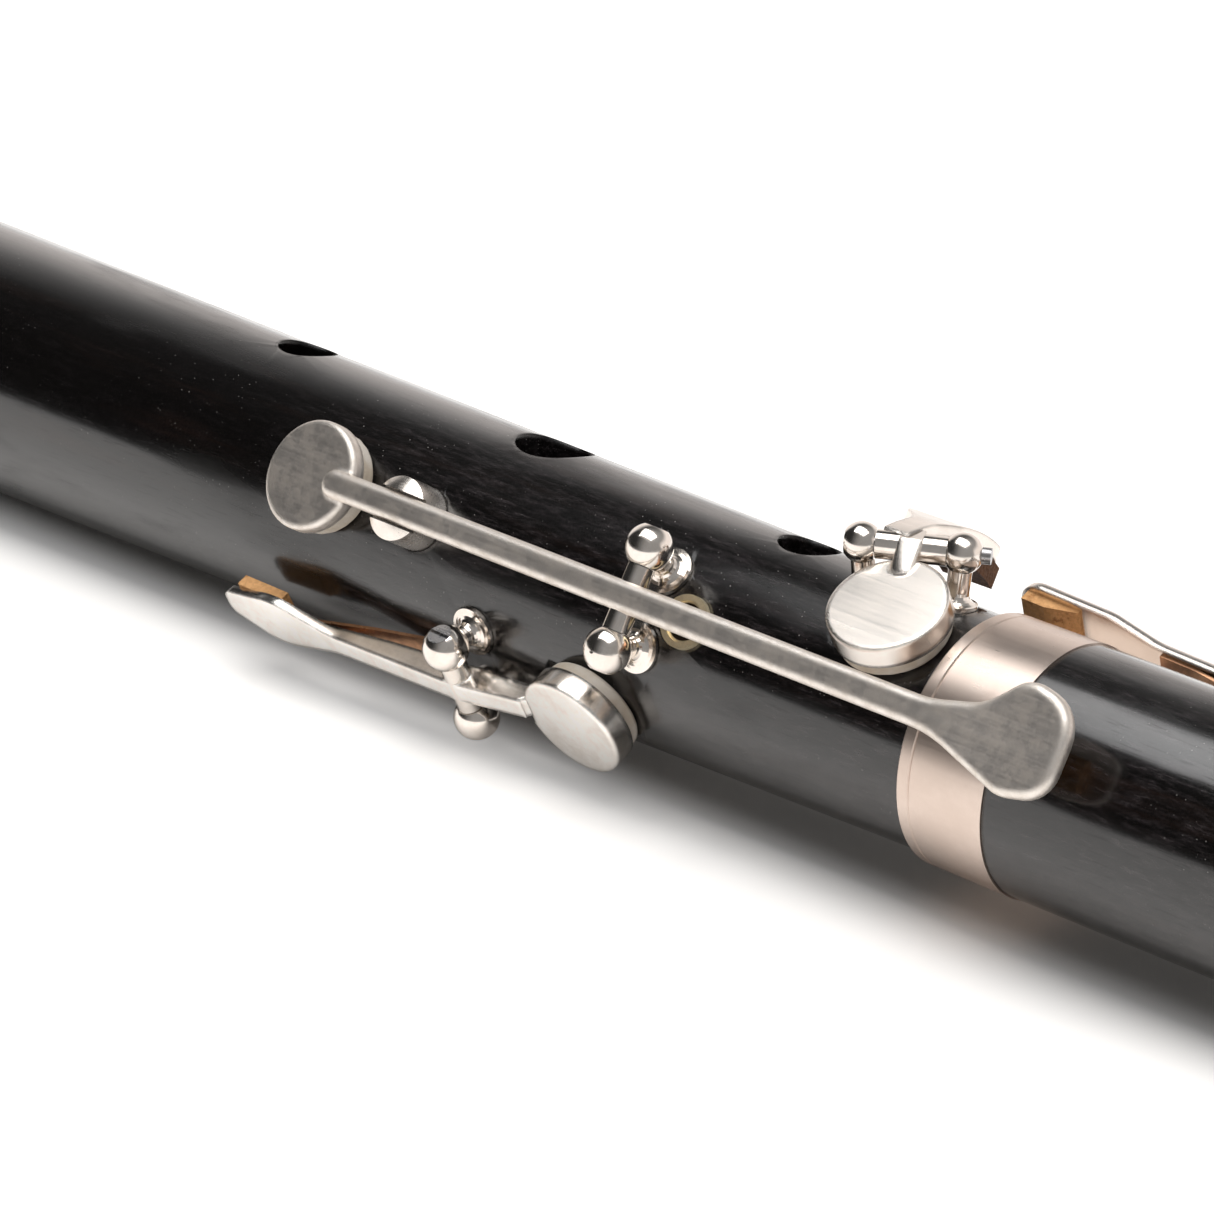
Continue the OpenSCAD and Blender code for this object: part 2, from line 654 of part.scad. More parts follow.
// Long F key: its touch reaches up past the middle joint, its cup lies on the far side of the lower body
long_f_under = 14.9;
long_f_tip = -45.2;
long_f_half = 3;
long_f_cork_t = 1.2;
long_f_cork_inset = 0.8;
long_f_cork_from = 1;
long_f_cork_flat = 2.6;
long_f_cork_len = 6;
long_f_cork_thin = 0.3;
long_f_spring_way = [-29, -25, -6];
module long_f_key_lever() {
    color("silver") flute_frame()
        side_lever(long_f_pivot, long_f_cup, long_f_tip, long_f_half, long_f_under);
}
module long_f_key_spring() {
    color("peru") flute_frame() touch_spring(long_f_pivot, long_f_spring_way, long_f_under);
}
module long_f_key_cork() {
    from = long_f_tip + long_f_cork_from;
    to = from + long_f_cork_len;
    stop = long_f_under - long_f_cork_t;
    color("sandybrown") flute_frame() pivot_frame(long_f_pivot)
        side_profile(2 * (long_f_half - long_f_cork_inset), [
            [from, long_f_under], [from, stop], [from + long_f_cork_flat, stop],
            [to, long_f_under - long_f_cork_thin], [to, long_f_under]
        ]);
}
// E flat key on the foot
e_flat_under = 15.35;
e_flat_tip = -30;
e_flat_half = 4;
e_flat_cork_t = 1.2;
e_flat_cork_w = 5;
e_flat_cork_from = 2;
e_flat_cork_len = 6;
e_flat_cork_span = [e_flat_tip + e_flat_cork_from, e_flat_tip + e_flat_cork_from + e_flat_cork_len];
e_flat_spring_way = [-18, -15, -5.5];
module e_flat_key_lever() {
    color("silver") flute_frame()
        side_lever(e_flat_pivot, e_flat_cup, e_flat_tip, e_flat_half, e_flat_under);
}
module e_flat_key_spring() {
    color("peru") flute_frame() touch_spring(e_flat_pivot, e_flat_spring_way, e_flat_under);
}
module e_flat_key_cork() {
    color("sandybrown") flute_frame()
        touch_cork(e_flat_pivot, e_flat_cork_span, e_flat_cork_w, e_flat_cork_t, e_flat_under);
}

// Pads, posts and pivot screws
module c_key_pad() { color("wheat") flute_frame() key_pad(c_cup); }
module b_flat_key_pad() { color("wheat") flute_frame() key_pad(b_flat_cup); }
module g_sharp_key_pad() { color("wheat") flute_frame() key_pad(g_sharp_cup); }
module long_f_key_pad() { color("wheat") flute_frame() key_pad(long_f_cup); }
module short_f_key_pad() { color("wheat") flute_frame() key_pad(short_f_cup); }
module e_flat_key_pad() { color("wheat") flute_frame() key_pad(e_flat_cup); }
module c_key_posts() { color("silver") flute_frame() key_posts(c_pivot); }
module b_flat_key_posts() { color("silver") flute_frame() key_posts(b_flat_pivot); }
module g_sharp_key_posts() { color("silver") flute_frame() key_posts(g_sharp_pivot); }
module long_f_key_posts() { color("silver") flute_frame() key_posts(long_f_pivot); }
module short_f_key_posts() { color("silver") flute_frame() key_posts(short_f_pivot); }
module e_flat_key_posts() { color("silver") flute_frame() key_posts(e_flat_pivot); }
module c_key_screw() { color("gray") flute_frame() pivot_screw(c_pivot, hidden_nub); }
module b_flat_key_screw() { color("gray") flute_frame() pivot_screw(b_flat_pivot, hidden_nub); }
module g_sharp_key_screw() { color("gray") flute_frame() pivot_screw(g_sharp_pivot, cross_nub); }
module long_f_key_screw() { color("gray") flute_frame() pivot_screw(long_f_pivot, hidden_nub); }
module short_f_key_screw() { color("gray") flute_frame() pivot_screw(short_f_pivot, cross_nub); }
module e_flat_key_screw() { color("gray") flute_frame() pivot_screw(e_flat_pivot, hidden_nub); }

// Rings: the wood is turned down by ring_cut under each
ring_cut = ring_wall - ring_proud;
ring_edge = 0.2;
ring_groove = 0.15;
ring_groove_x = 1.45;
module ring(x, w, r) {
    out = r + ring_proud;
    along_x([[r - ring_cut, x], [out, x], [out, x + w], [r - ring_cut, x + w]]);
}
module lower_body_ring() {
    out = lower_r_top + ring_proud;
    color("silver") flute_frame() along_x([
        [middle_socket_r, 0], [out - ring_edge, 0], [out, ring_edge],
        [out, ring_groove_x - ring_groove], [out - ring_groove, ring_groove_x],
        [out, ring_groove_x + ring_groove], [out, ring_w],
        [lower_r_top - ring_cut, ring_w], [lower_r_top - ring_cut, ring_wall], [middle_socket_r, ring_wall]
    ]);
}

// Wood
module finger_hole(i) { round_tube(finger_x[i], 0) cylinder(r = finger_r[i], h = upper_r_top + cut); }
module upper_body() {
    top = upper_x + joint_gap;
    color("#1c1614") flute_frame() difference() {
        along_x([
            [bore_upper, upper_x - barrel_tenon_len], [barrel_tenon_r, upper_x - barrel_tenon_len],
            [barrel_tenon_r, top], [upper_r(top), top], [upper_r(-joint_gap), -joint_gap],
            [middle_tenon_r, -joint_gap], [middle_tenon_r, middle_tenon_len], [bore_middle, middle_tenon_len]
        ]);
        for (i = [0 : 2]) finger_hole(i);
        for (c = [c_cup, b_flat_cup, g_sharp_cup]) key_seat(c);
        for (k = [c_pivot, b_flat_pivot, g_sharp_pivot]) key_post_sockets(k);
        round_tube(c_guide_x, c_cup.y) post_socket(wood_r(c_guide_x) - c_guide_sink, c_guide_r);
        round_tube(c_seat_x, c_cup.y) translate([0, 0, wood_r(c_seat_x) - c_seat_sink])
            cylinder(r = c_seat_r + glue, h = c_seat_h + cut);
    }
}
module lower_body() {
    deep = middle_tenon_len + socket_spare;
    color("#1c1614") flute_frame() difference() {
        along_x([
            [middle_socket_r, ring_wall + glue], [lower_r_top - ring_cut - glue, ring_wall + glue],
            [lower_r_top - ring_cut - glue, ring_w + glue], [lower_r(ring_w), ring_w + glue],
            [lower_r(lower_len - joint_gap), lower_len - joint_gap], [foot_tenon_r, lower_len - joint_gap],
            [foot_tenon_r, lower_len + foot_tenon_len], [bore_lower, lower_len + foot_tenon_len],
            [bore_middle, deep], [middle_socket_r, deep]
        ]);
        for (i = [3 : 5]) finger_hole(i);
        for (c = [long_f_cup, short_f_cup]) key_seat(c);
        for (k = [long_f_pivot, short_f_pivot]) key_post_sockets(k);
    }
}
module foot_joint() {
    deep = foot_x + foot_tenon_len + socket_spare;
    end_r = foot_r_bottom - ring_cut - glue;
    color("#1c1614") flute_frame() difference() {
        along_x([
            [foot_socket_r, foot_x], [foot_r_top - ring_cut - glue, foot_x],
            [foot_r_top - ring_cut - glue, foot_x + small_ring_w + glue],
            [foot_r(foot_x + small_ring_w), foot_x + small_ring_w + glue],
            [foot_r(end_x - small_ring_w), end_x - small_ring_w - glue],
            [end_r, end_x - small_ring_w - glue], [end_r, end_x],
            [bore_foot, end_x], [bore_foot, deep], [foot_socket_r, deep]
        ]);
        key_seat(e_flat_cup);
        key_post_sockets(e_flat_pivot);
    }
}
module foot_rings() {
    color("silver") flute_frame() {
        ring(foot_x, small_ring_w, foot_r_top);
        ring(end_x - small_ring_w, small_ring_w, foot_r_bottom);
    }
}
module barrel() {
    turned = barrel_r - ring_cut - glue;
    deep = upper_x - barrel_tenon_len - socket_spare;
    lining_r = slide_socket_r + lining_wall + glue;
    color("#1c1614") flute_frame() along_x([
        [lining_r, barrel_x], [turned, barrel_x], [turned, barrel_x + small_ring_w + glue],
        [barrel_r, barrel_x + small_ring_w + glue], [barrel_r, upper_x - small_ring_w - glue],
        [turned, upper_x - small_ring_w - glue], [turned, upper_x], [barrel_socket_r, upper_x],
        [barrel_socket_r, deep], [lining_r, deep]
    ]);
}
module barrel_rings() {
    color("silver") flute_frame() {
        ring(barrel_x, small_ring_w, barrel_r);
        ring(upper_x - small_ring_w, small_ring_w, barrel_r);
    }
}
module barrel_lining() {
    outer = slide_socket_r + lining_wall;
    color("gainsboro") flute_frame() along_x([
        [slide_socket_r, barrel_x], [outer, barrel_x], [outer, barrel_x + slide_socket_len],
        [slide_socket_r, barrel_x + slide_socket_len]
    ]);
}
module mouth_cutter() {
    side = (mouth_len - mouth_w) / 2;
    round_tube(mouth_x, head_turn) {
        for (x = [-side, side]) translate([x, 0, 0]) cylinder(d = mouth_w, h = head_r_barrel + cut);
        translate([-side, -mouth_w / 2, 0]) cube([2 * side, mouth_w, head_r_barrel + cut]);
    }
}
module head_joint() {
    from = head_x + crown_len;
    to = barrel_x - joint_gap;
    turned = head_r_barrel - ring_cut - glue;
    color("#1c1614") flute_frame() difference() {
        along_x([
            [slide_r + glue, from], [head_r_crown, from], [head_r_barrel, mouth_x + head_taper_len],
            [head_r_barrel, to - small_ring_w - glue], [turned, to - small_ring_w - glue], [turned, to],
            [slide_r + glue, to]
        ]);
        mouth_cutter();
    }
}
module head_lining() {
    from = head_x + crown_len + cut;
    to = barrel_x + slide_len;
    color("gainsboro") flute_frame() difference() {
        along_x([[bore_head, from], [slide_r, from], [slide_r, to], [bore_head, to]]);
        mouth_cutter();
    }
}
module head_ring() {
    color("silver") flute_frame() ring(barrel_x - joint_gap - small_ring_w, small_ring_w, head_r_barrel);
}
module crown_cap() {
    face = head_x + crown_len - joint_gap;
    spigot_r = bore_head - crown_spigot_ease;
    spigot_end = face + crown_spigot_len;
    hole_r = stopper_rod_r + thread_ease;
    color("#1c1614") flute_frame() along_x([
        [hole_r, head_x], [head_r_crown * crown_flat, head_x],
        for (a = [70 : -14 : 0])
            [head_r_crown * mix(crown_flat, 1, cos(a)), head_x + crown_dome * (1 - sin(a))],
        [head_r_crown, face], [spigot_r, face], [spigot_r, spigot_end], [hole_r, spigot_end]
    ]);
}
module stopper_cork() {
    front = mouth_x - stopper_back;
    back = front - stopper_len;
    r = bore_head - ease;
    color("sandybrown") flute_frame() along_x([
        [stopper_rod_r + glue, back], [r, back], [r, front], [0, front], [0, front - stopper_web],
        [stopper_rod_r + glue, front - stopper_web]
    ]);
}
module stopper_rod() {
    back = head_x + rod_inset;
    front = mouth_x - stopper_back - stopper_web - glue;
    color("gainsboro") flute_frame()
        along_x([[0, back], [stopper_rod_r, back], [stopper_rod_r, front], [0, front]]);
}
module tenon_wrap(r, from, to) {
    along_x([[r, from], [r + tenon_cork, from], [r + tenon_cork, to], [r, to]]);
}
module barrel_tenon_cork() {
    color("tan") flute_frame()
        tenon_wrap(barrel_tenon_r, upper_x - barrel_tenon_len + cork_margin, upper_x - cork_margin);
}
module middle_tenon_cork() {
    color("tan") flute_frame() tenon_wrap(middle_tenon_r, cork_margin, middle_tenon_len - cork_margin);
}
module foot_tenon_cork() {
    color("tan") flute_frame()
        tenon_wrap(foot_tenon_r, foot_x + cork_margin, foot_x + foot_tenon_len - cork_margin);
}

crown_cap();
stopper_cork();
stopper_rod();
head_joint();
head_lining();
head_ring();
barrel();
barrel_lining();
barrel_rings();
upper_body();
barrel_tenon_cork();
middle_tenon_cork();
lower_body();
lower_body_ring();
foot_tenon_cork();
foot_joint();
foot_rings();
c_key_lever();
c_key_pad();
c_key_posts();
c_key_screw();
c_key_spring();
c_key_cork();
c_key_guide();
c_spring_seat();
b_flat_key_lever();
b_flat_key_pad();
b_flat_key_posts();
b_flat_key_screw();
b_flat_key_spring();
b_flat_key_cork();
g_sharp_key_lever();
g_sharp_key_pad();
g_sharp_key_posts();
g_sharp_key_screw();
g_sharp_key_spring();
g_sharp_key_cork();
long_f_key_lever();
long_f_key_pad();
long_f_key_posts();
long_f_key_screw();
long_f_key_spring();
long_f_key_cork();
short_f_key_lever();
short_f_key_pad();
short_f_key_posts();
short_f_key_screw();
short_f_key_spring();
short_f_key_cork();
e_flat_key_lever();
e_flat_key_pad();
e_flat_key_posts();
e_flat_key_screw();
e_flat_key_spring();
e_flat_key_cork();
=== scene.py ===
# %% [markdown]
# # Dressing a keyed wooden flute
# The photograph looks closely at the middle of a black wooden flute with silver keys, on a white table.
# Its solids are already made at their real size, so this lesson adds only what an eye and a hand would
# add: the polish of the wood, the tarnish on the silver, leather in the key cups, and a studio to see it
# in. The solids load first, because every later piece takes its place from them.

# %% Load the solids
import json
import math

import bmesh
import bpy
from mathutils import Matrix, Quaternion, Vector

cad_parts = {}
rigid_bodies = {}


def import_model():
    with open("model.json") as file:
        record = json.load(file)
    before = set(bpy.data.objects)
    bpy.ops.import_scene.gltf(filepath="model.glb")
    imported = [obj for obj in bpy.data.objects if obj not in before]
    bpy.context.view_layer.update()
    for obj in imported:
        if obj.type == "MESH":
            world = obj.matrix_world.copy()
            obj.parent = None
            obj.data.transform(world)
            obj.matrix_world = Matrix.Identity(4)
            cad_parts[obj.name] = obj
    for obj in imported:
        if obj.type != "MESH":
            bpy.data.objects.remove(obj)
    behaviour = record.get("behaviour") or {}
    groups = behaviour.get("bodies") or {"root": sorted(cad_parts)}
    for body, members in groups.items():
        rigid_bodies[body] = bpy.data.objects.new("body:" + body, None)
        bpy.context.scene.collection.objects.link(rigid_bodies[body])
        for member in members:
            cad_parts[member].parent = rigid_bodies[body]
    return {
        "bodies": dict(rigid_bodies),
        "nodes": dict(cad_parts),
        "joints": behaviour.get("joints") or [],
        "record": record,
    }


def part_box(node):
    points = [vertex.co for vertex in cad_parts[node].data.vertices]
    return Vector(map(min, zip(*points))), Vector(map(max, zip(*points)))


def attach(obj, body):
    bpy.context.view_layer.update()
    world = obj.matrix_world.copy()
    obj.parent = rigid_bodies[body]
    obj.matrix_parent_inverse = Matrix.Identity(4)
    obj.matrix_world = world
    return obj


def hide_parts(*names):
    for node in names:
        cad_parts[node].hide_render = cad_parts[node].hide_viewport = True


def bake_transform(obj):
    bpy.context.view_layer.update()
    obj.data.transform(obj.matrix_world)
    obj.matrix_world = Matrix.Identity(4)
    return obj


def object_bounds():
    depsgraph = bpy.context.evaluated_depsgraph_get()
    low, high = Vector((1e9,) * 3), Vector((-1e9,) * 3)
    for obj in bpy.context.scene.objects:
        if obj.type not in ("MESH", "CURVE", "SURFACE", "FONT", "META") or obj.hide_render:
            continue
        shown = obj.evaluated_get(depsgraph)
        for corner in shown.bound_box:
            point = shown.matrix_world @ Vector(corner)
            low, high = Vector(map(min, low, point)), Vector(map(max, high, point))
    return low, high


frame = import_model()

MM = 0.001
solids_low, solids_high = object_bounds()
slot_of_node = {part["node"]: part["material_slot"] for part in frame["record"]["subparts"]}
print("nodes", len(frame["nodes"]), "length in mm", round((solids_high - solids_low).x / MM, 1))

# %% [markdown]
# ## The camera
# A camera can be set by eye, or worked out from what the picture must show. Here the finger holes, the
# ring and the outline of the tube fix it: a long lens, close to the keys, looking down over the player's
# side. The picture is also turned by a degree and a half, as by a camera that is held a little askew.

# %% Set the camera
VIEW_AZIMUTH = math.radians(42.19)
VIEW_ELEVATION = math.radians(23.668)
VIEW_ROLL = math.radians(1.484)
VIEW_PLACE = Vector((0.066, -262.255, 153.764)) * MM
LENS_MM = 112.41
SENSOR_MM = 36.0
NEAREST_SEEN = 10 * MM

camera = bpy.data.objects.new("flute_camera", bpy.data.cameras.new("flute_camera"))
camera.data.lens = LENS_MM
camera.data.sensor_width = SENSOR_MM
camera.data.clip_start = NEAREST_SEEN
towards_camera = Vector((
    math.sin(VIEW_AZIMUTH) * math.cos(VIEW_ELEVATION),
    -math.cos(VIEW_AZIMUTH) * math.cos(VIEW_ELEVATION),
    math.sin(VIEW_ELEVATION),
))
turn = towards_camera.to_track_quat("Z", "Y") @ Quaternion((0, 0, 1), VIEW_ROLL)
camera.matrix_world = Matrix.Translation(VIEW_PLACE) @ turn.to_matrix().to_4x4()
bpy.context.scene.collection.objects.link(camera)
bpy.context.scene.camera = camera
bpy.context.scene.view_settings.view_transform = "Standard"
print("camera at mm", [round(c / MM, 1) for c in camera.location])

# %% [markdown]
# ## Placing shader nodes
# A finish is a little network of shader nodes. It could be drawn by hand in the shader editor, but a
# script can be read and run again. In a plain script every link takes a line and hides the idea, so two
# helpers carry the wiring: one places a node and sets it by name, and the other feeds a socket with a
# value or with another node's output.

# %% Place and feed a node
def put(tree, kind, **settings):
    """Places a shader node; a setting is a socket's name, with _ for a space, or an option of the node."""
    node = tree.nodes.new("ShaderNode" + kind)
    for name, value in settings.items():
        socket = node.inputs.get(name.replace("_", " "))
        if socket is None:
            setattr(node, name, value)
        else:
            feed(tree, value, socket)
    return node


def feed(tree, value, socket):
    """Links value to the socket if it is another node's output, and otherwise sets it."""
    if isinstance(value, bpy.types.NodeSocket):
        tree.links.new(value, socket)
    else:
        socket.default_value = value


print("shader nodes of Blender", bpy.app.version_string)

# %% [markdown]
# ## Masks and sums
# Wear and dirt lie in some places and not in others, and a mask is the number from 0 to 1 that says where.
# A colour ramp could cut a mask out of a noise. A Map Range node does it with two plain levels and soft
# ends, and it can run to other values than 0 and 1, so the same helper also turns a mask into a roughness.
# The other helpers are one sum each, so that a finish reads as a row of sums.

# %% Cut masks and do sums
def spread(tree, value, low, high, start=0.0, end=1.0):
    """A soft mask: start where value is below low, end where it is above high."""
    return put(
        tree, "MapRange", interpolation_type="SMOOTHSTEP",
        Value=value, From_Min=low, From_Max=high, To_Min=start, To_Max=end,
    ).outputs["Result"]


def mingle(tree, mask, first, second):
    """A colour that goes from first to second as mask goes from 0 to 1."""
    node = put(tree, "Mix", data_type="RGBA")
    feed(tree, mask, node.inputs[0])
    feed(tree, first, node.inputs[6])
    feed(tree, second, node.inputs[7])
    return node.outputs[2]


def reckon(tree, operation, first, second=0.0):
    """One sum on two values."""
    node = put(tree, "Math", operation=operation)
    feed(tree, first, node.inputs[0])
    feed(tree, second, node.inputs[1])
    return node.outputs[0]


def vector_sum(tree, operation, first, second=(0, 0, 0)):
    """One sum on two vectors, and its outputs."""
    node = put(tree, "VectorMath", operation=operation)
    feed(tree, first, node.inputs[0])
    feed(tree, second, node.inputs[1])
    return node.outputs


print("helpers", [helper.__name__ for helper in (spread, mingle, reckon, vector_sum)])

# %% [markdown]
# ## Grain and blotches
# Almost every mark on the flute is one of two kinds: grain, scratches and smears run along the tube, and
# stains lie in blotches. Painted pictures could show both, but they would have to be unwrapped round every
# hole and key. Noise in three dimensions needs no unwrapping, because it runs through the solid as grain
# does. Drawn out along the tube it is grain, and left even it is blotches.

# %% Draw grain and blotches
def place_in(tree):
    """The place of a point on the flute, in metres."""
    return put(tree, "TexCoord").outputs["Object"]


def grain_of(tree, along, across, **settings):
    """Noise drawn out along the tube: along and across count its features per metre."""
    drawn = put(tree, "Mapping", Vector=place_in(tree), Scale=(along, across, across)).outputs["Vector"]
    return put(tree, "TexNoise", Vector=drawn, Scale=1.0, **settings).outputs["Fac"]


def blotches_of(tree, per_metre, **settings):
    """Even noise with that many blotches per metre."""
    return put(tree, "TexNoise", Vector=place_in(tree), Scale=per_metre, **settings).outputs["Fac"]


print("helpers", [helper.__name__ for helper in (place_in, grain_of, blotches_of)])

# %% [markdown]
# ## Recipes that several finishes share
# Dust and finger smears lie on wood and silver alike, tarnish grows on every metal piece, and three corks
# share one structure. Each could be copied into every material, but then a change would have to be made
# many times. So each is a node group: it is built once, has named inputs, and puts out only colours, masks
# and heights. The shader itself stays in each material, where an export can read it.

# %% Start a recipe
def start_recipe(name, inputs, outputs):
    """A new node group with those sockets, and the two nodes that hold its inputs and outputs."""
    group = bpy.data.node_groups.new(name, "ShaderNodeTree")
    for label, kind in inputs:
        group.interface.new_socket(label, in_out="INPUT", socket_type="NodeSocket" + kind)
    for label, kind in outputs:
        group.interface.new_socket(label, in_out="OUTPUT", socket_type="NodeSocket" + kind)
    taken = group.nodes.new("NodeGroupInput").outputs
    given = group.nodes.new("NodeGroupOutput").inputs
    return group, taken, given


def use_recipe(tree, group, **settings):
    """Places a recipe in a material with its own values, and returns its outputs."""
    node = tree.nodes.new("ShaderNodeGroup")
    node.node_tree = group
    for name, value in settings.items():
        feed(tree, value, node.inputs[name.replace("_", " ")])
    return node.outputs


print("helpers", [helper.__name__ for helper in (start_recipe, use_recipe)])

# %% [markdown]
# ### Dust and finger smears
# An old flute that has been handled shows two things under studio light: single grains of dust, and broad
# faint smears where the polish is a little duller. The grains could be scattered as tiny meshes, but they
# would outweigh the flute. Here they are the cores of Voronoi cells, of many sizes, kept in half of the
# cells and gathered in patches. The smears are a noise drawn out along the tube.

# %% Recipe for dust and smears
DUST_CELLS_PER_M = 2100.0
COARSEST_GRAIN = 0.15
EMPTY_CELLS = 0.5
DUST_PATCHES = dict(per_metre=45.0, Detail=2.0)
DUST_PATCHES_SHOW = (0.40, 0.68)
SMEARS = dict(along=35.0, across=140.0, Detail=4.0)
SMEARS_SHOW = (0.45, 0.75)

handling, taken, given = start_recipe(
    "dust_and_smears", [("Dust", "Float")], [("Grains", "Float"), ("Smears", "Float")]
)
cells = put(handling, "TexVoronoi", Vector=place_in(handling), Scale=DUST_CELLS_PER_M).outputs
chance = put(handling, "SeparateColor", Color=cells["Color"]).outputs
grain_size = reckon(handling, "MULTIPLY", chance["Green"], COARSEST_GRAIN)
core = reckon(handling, "LESS_THAN", cells["Distance"], grain_size)
kept = reckon(handling, "GREATER_THAN", chance["Red"], EMPTY_CELLS)
gathered = spread(handling, blotches_of(handling, **DUST_PATCHES), *DUST_PATCHES_SHOW)
grains = reckon(handling, "MULTIPLY", reckon(handling, "MULTIPLY", core, kept), gathered)
feed(handling, reckon(handling, "MULTIPLY", grains, taken["Dust"]), given["Grains"])
feed(handling, spread(handling, grain_of(handling, **SMEARS), *SMEARS_SHOW), given["Smears"])
print("recipe", handling.name, len(handling.nodes), "nodes")

# %% [markdown]
# ### Tarnish
# Silver keys darken in patches where no finger rubs them, first yellow-brown and then grey, and the patches
# are duller than the metal round them. Polishing leaves fine lines along the lever. One noise could stand
# for all of it, but it would have one scale only. So one noise makes the patches, a finer one the specks
# between them, and one drawn out along the tube the polishing lines.

# %% Recipe for tarnish
PATCHES = dict(Detail=8.0, Roughness=0.72)
PATCHES_SHOW = (0.36, 0.66)
SPECKS = dict(per_metre=1600.0, Detail=3.0)
SPECKS_SHOW = (0.58, 0.74)
SPECKS_MOST = 0.55
POLISH_LINES = dict(along=45.0, across=4200.0, Detail=3.0)
POLISH_LINES_SHOW = (0.3, 0.7)
LINE_ROUGHNESS = (-0.015, 0.025)
TARNISH_DULL = 0.2

tarnish, taken, given = start_recipe(
    "tarnish_and_polish",
    [("Clean", "Color"), ("Stain", "Color"), ("Amount", "Float"), ("Patches", "Float"), ("Polish", "Float")],
    [("Colour", "Color"), ("Roughness", "Float"), ("Height", "Float")],
)
patches = spread(tarnish, blotches_of(tarnish, taken["Patches"], **PATCHES), *PATCHES_SHOW)
specks = spread(tarnish, blotches_of(tarnish, **SPECKS), *SPECKS_SHOW, 0.0, SPECKS_MOST)
stained = reckon(tarnish, "MULTIPLY", reckon(tarnish, "MAXIMUM", patches, specks), taken["Amount"])
lines = grain_of(tarnish, **POLISH_LINES)
dulled = reckon(tarnish, "MULTIPLY", stained, TARNISH_DULL)
lined = spread(tarnish, lines, *POLISH_LINES_SHOW, *LINE_ROUGHNESS)
roughness = reckon(tarnish, "ADD", reckon(tarnish, "ADD", taken["Polish"], dulled), lined)
feed(tarnish, mingle(tarnish, stained, taken["Clean"], taken["Stain"]), given["Colour"])
feed(tarnish, roughness, given["Roughness"])
feed(tarnish, lines, given["Height"])
print("recipe", tarnish.name, len(tarnish.nodes), "nodes")

# %% [markdown]
# ### The structure of cork
# Cork is a mass of tiny cells with darker pits through it. A noise alone would look like a cloud. Voronoi
# cells give every grain its own shade and a raised form, a noise cuts the pits, and each of the flute's
# corks then has its own two colours.

# %% Recipe for cork
PITS = dict(per_metre=420.0, Detail=5.0, Roughness=0.7)
PITS_SHOW = (0.52, 0.66)
CELL_SHADES = 0.45

cork_grain, taken, given = start_recipe(
    "cork_grain",
    [("Light", "Color"), ("Dark", "Color"), ("Cells", "Float")],
    [("Colour", "Color"), ("Height", "Float")],
)
grain = put(cork_grain, "TexVoronoi", Vector=place_in(cork_grain), Scale=taken["Cells"]).outputs
shade = put(cork_grain, "SeparateColor", Color=grain["Color"]).outputs["Red"]
pits = spread(cork_grain, blotches_of(cork_grain, **PITS), *PITS_SHOW)
darkness = reckon(cork_grain, "MAXIMUM", reckon(cork_grain, "MULTIPLY", shade, CELL_SHADES), pits)
feed(cork_grain, mingle(cork_grain, darkness, taken["Light"], taken["Dark"]), given["Colour"])
feed(cork_grain, reckon(cork_grain, "SUBTRACT", grain["Distance"], pits), given["Height"])
print("recipe", cork_grain.name, len(cork_grain.nodes), "nodes")

# %% [markdown]
# ## Starting a finish
# Every material begins in the same way: an empty node tree with one Principled shader. Several shaders could
# be mixed, but this one already holds metal, wood and a coat. Numbers that are the same all over, such as a
# coat's roughness, are set on the shader's own sockets, so that an export keeps them. Fine relief is a bump,
# and a Bevel node can round the edges under it, as a file or a finger does.

# %% Start a finish
EDGE_SAMPLES = 6


def start_finish(name, **constants):
    """A new material, its node tree and its Principled shader with those constants set."""
    finish = bpy.data.materials.new(name)
    finish.use_nodes = True
    tree = finish.node_tree
    tree.nodes.clear()
    shader = put(tree, "BsdfPrincipled", **constants)
    feed(tree, shader.outputs["BSDF"], put(tree, "OutputMaterial").inputs["Surface"])
    return finish, tree, shader


def emboss(tree, shader, height, depth_mm, strength, edge_mm=0.0):
    """A bump of that depth on the shader's normal, over edges that look rounded by that radius."""
    bump = put(tree, "Bump", Height=height, Distance=depth_mm * MM, Strength=strength)
    if edge_mm:
        rounded = put(tree, "Bevel", samples=EDGE_SAMPLES, Radius=edge_mm * MM).outputs["Normal"]
        feed(tree, rounded, bump.inputs["Normal"])
    feed(tree, bump.outputs["Normal"], shader.inputs["Normal"])
    return bump


print("helpers", [helper.__name__ for helper in (start_finish, emboss)])

# %% [markdown]
# ## Blackwood
# The tube is turned from a nearly black hardwood, oiled and rubbed. Close to, it isn't one black: long brown
# streaks run through it, hands leave a grey haze of fine scuffs, and dust lies on it. One dark colour would
# look like plastic. The streaks are a noise drawn out along the tube, so they meet holes and tenons as real
# grain would, and the scuffs grow strong only from the keys on, where hands hold the flute.

# %% Colour the wood
HEARTWOOD = (0.0024, 0.0018, 0.0016, 1.0)
BROWN_STREAK = (0.016, 0.0085, 0.0062, 1.0)
DUST_COLOUR = (0.42, 0.40, 0.38, 1.0)
DUST_ON_WOOD = 0.7
SCUFF = (0.056, 0.047, 0.049, 1.0)
STREAKS = dict(along=28.0, across=420.0, Detail=5.0, Roughness=0.6, Distortion=0.4)
STREAKS_SHOW = (0.5, 0.78, 0.0, 0.8)
SCUFFS = dict(along=330.0, across=1700.0, Detail=7.0, Roughness=0.8)
SCUFFS_SHOW = (0.44, 0.78)
HANDS_FROM, HANDS_AT = -283 * MM, -255 * MM
SCUFFS_OFF_HANDS = 0.12

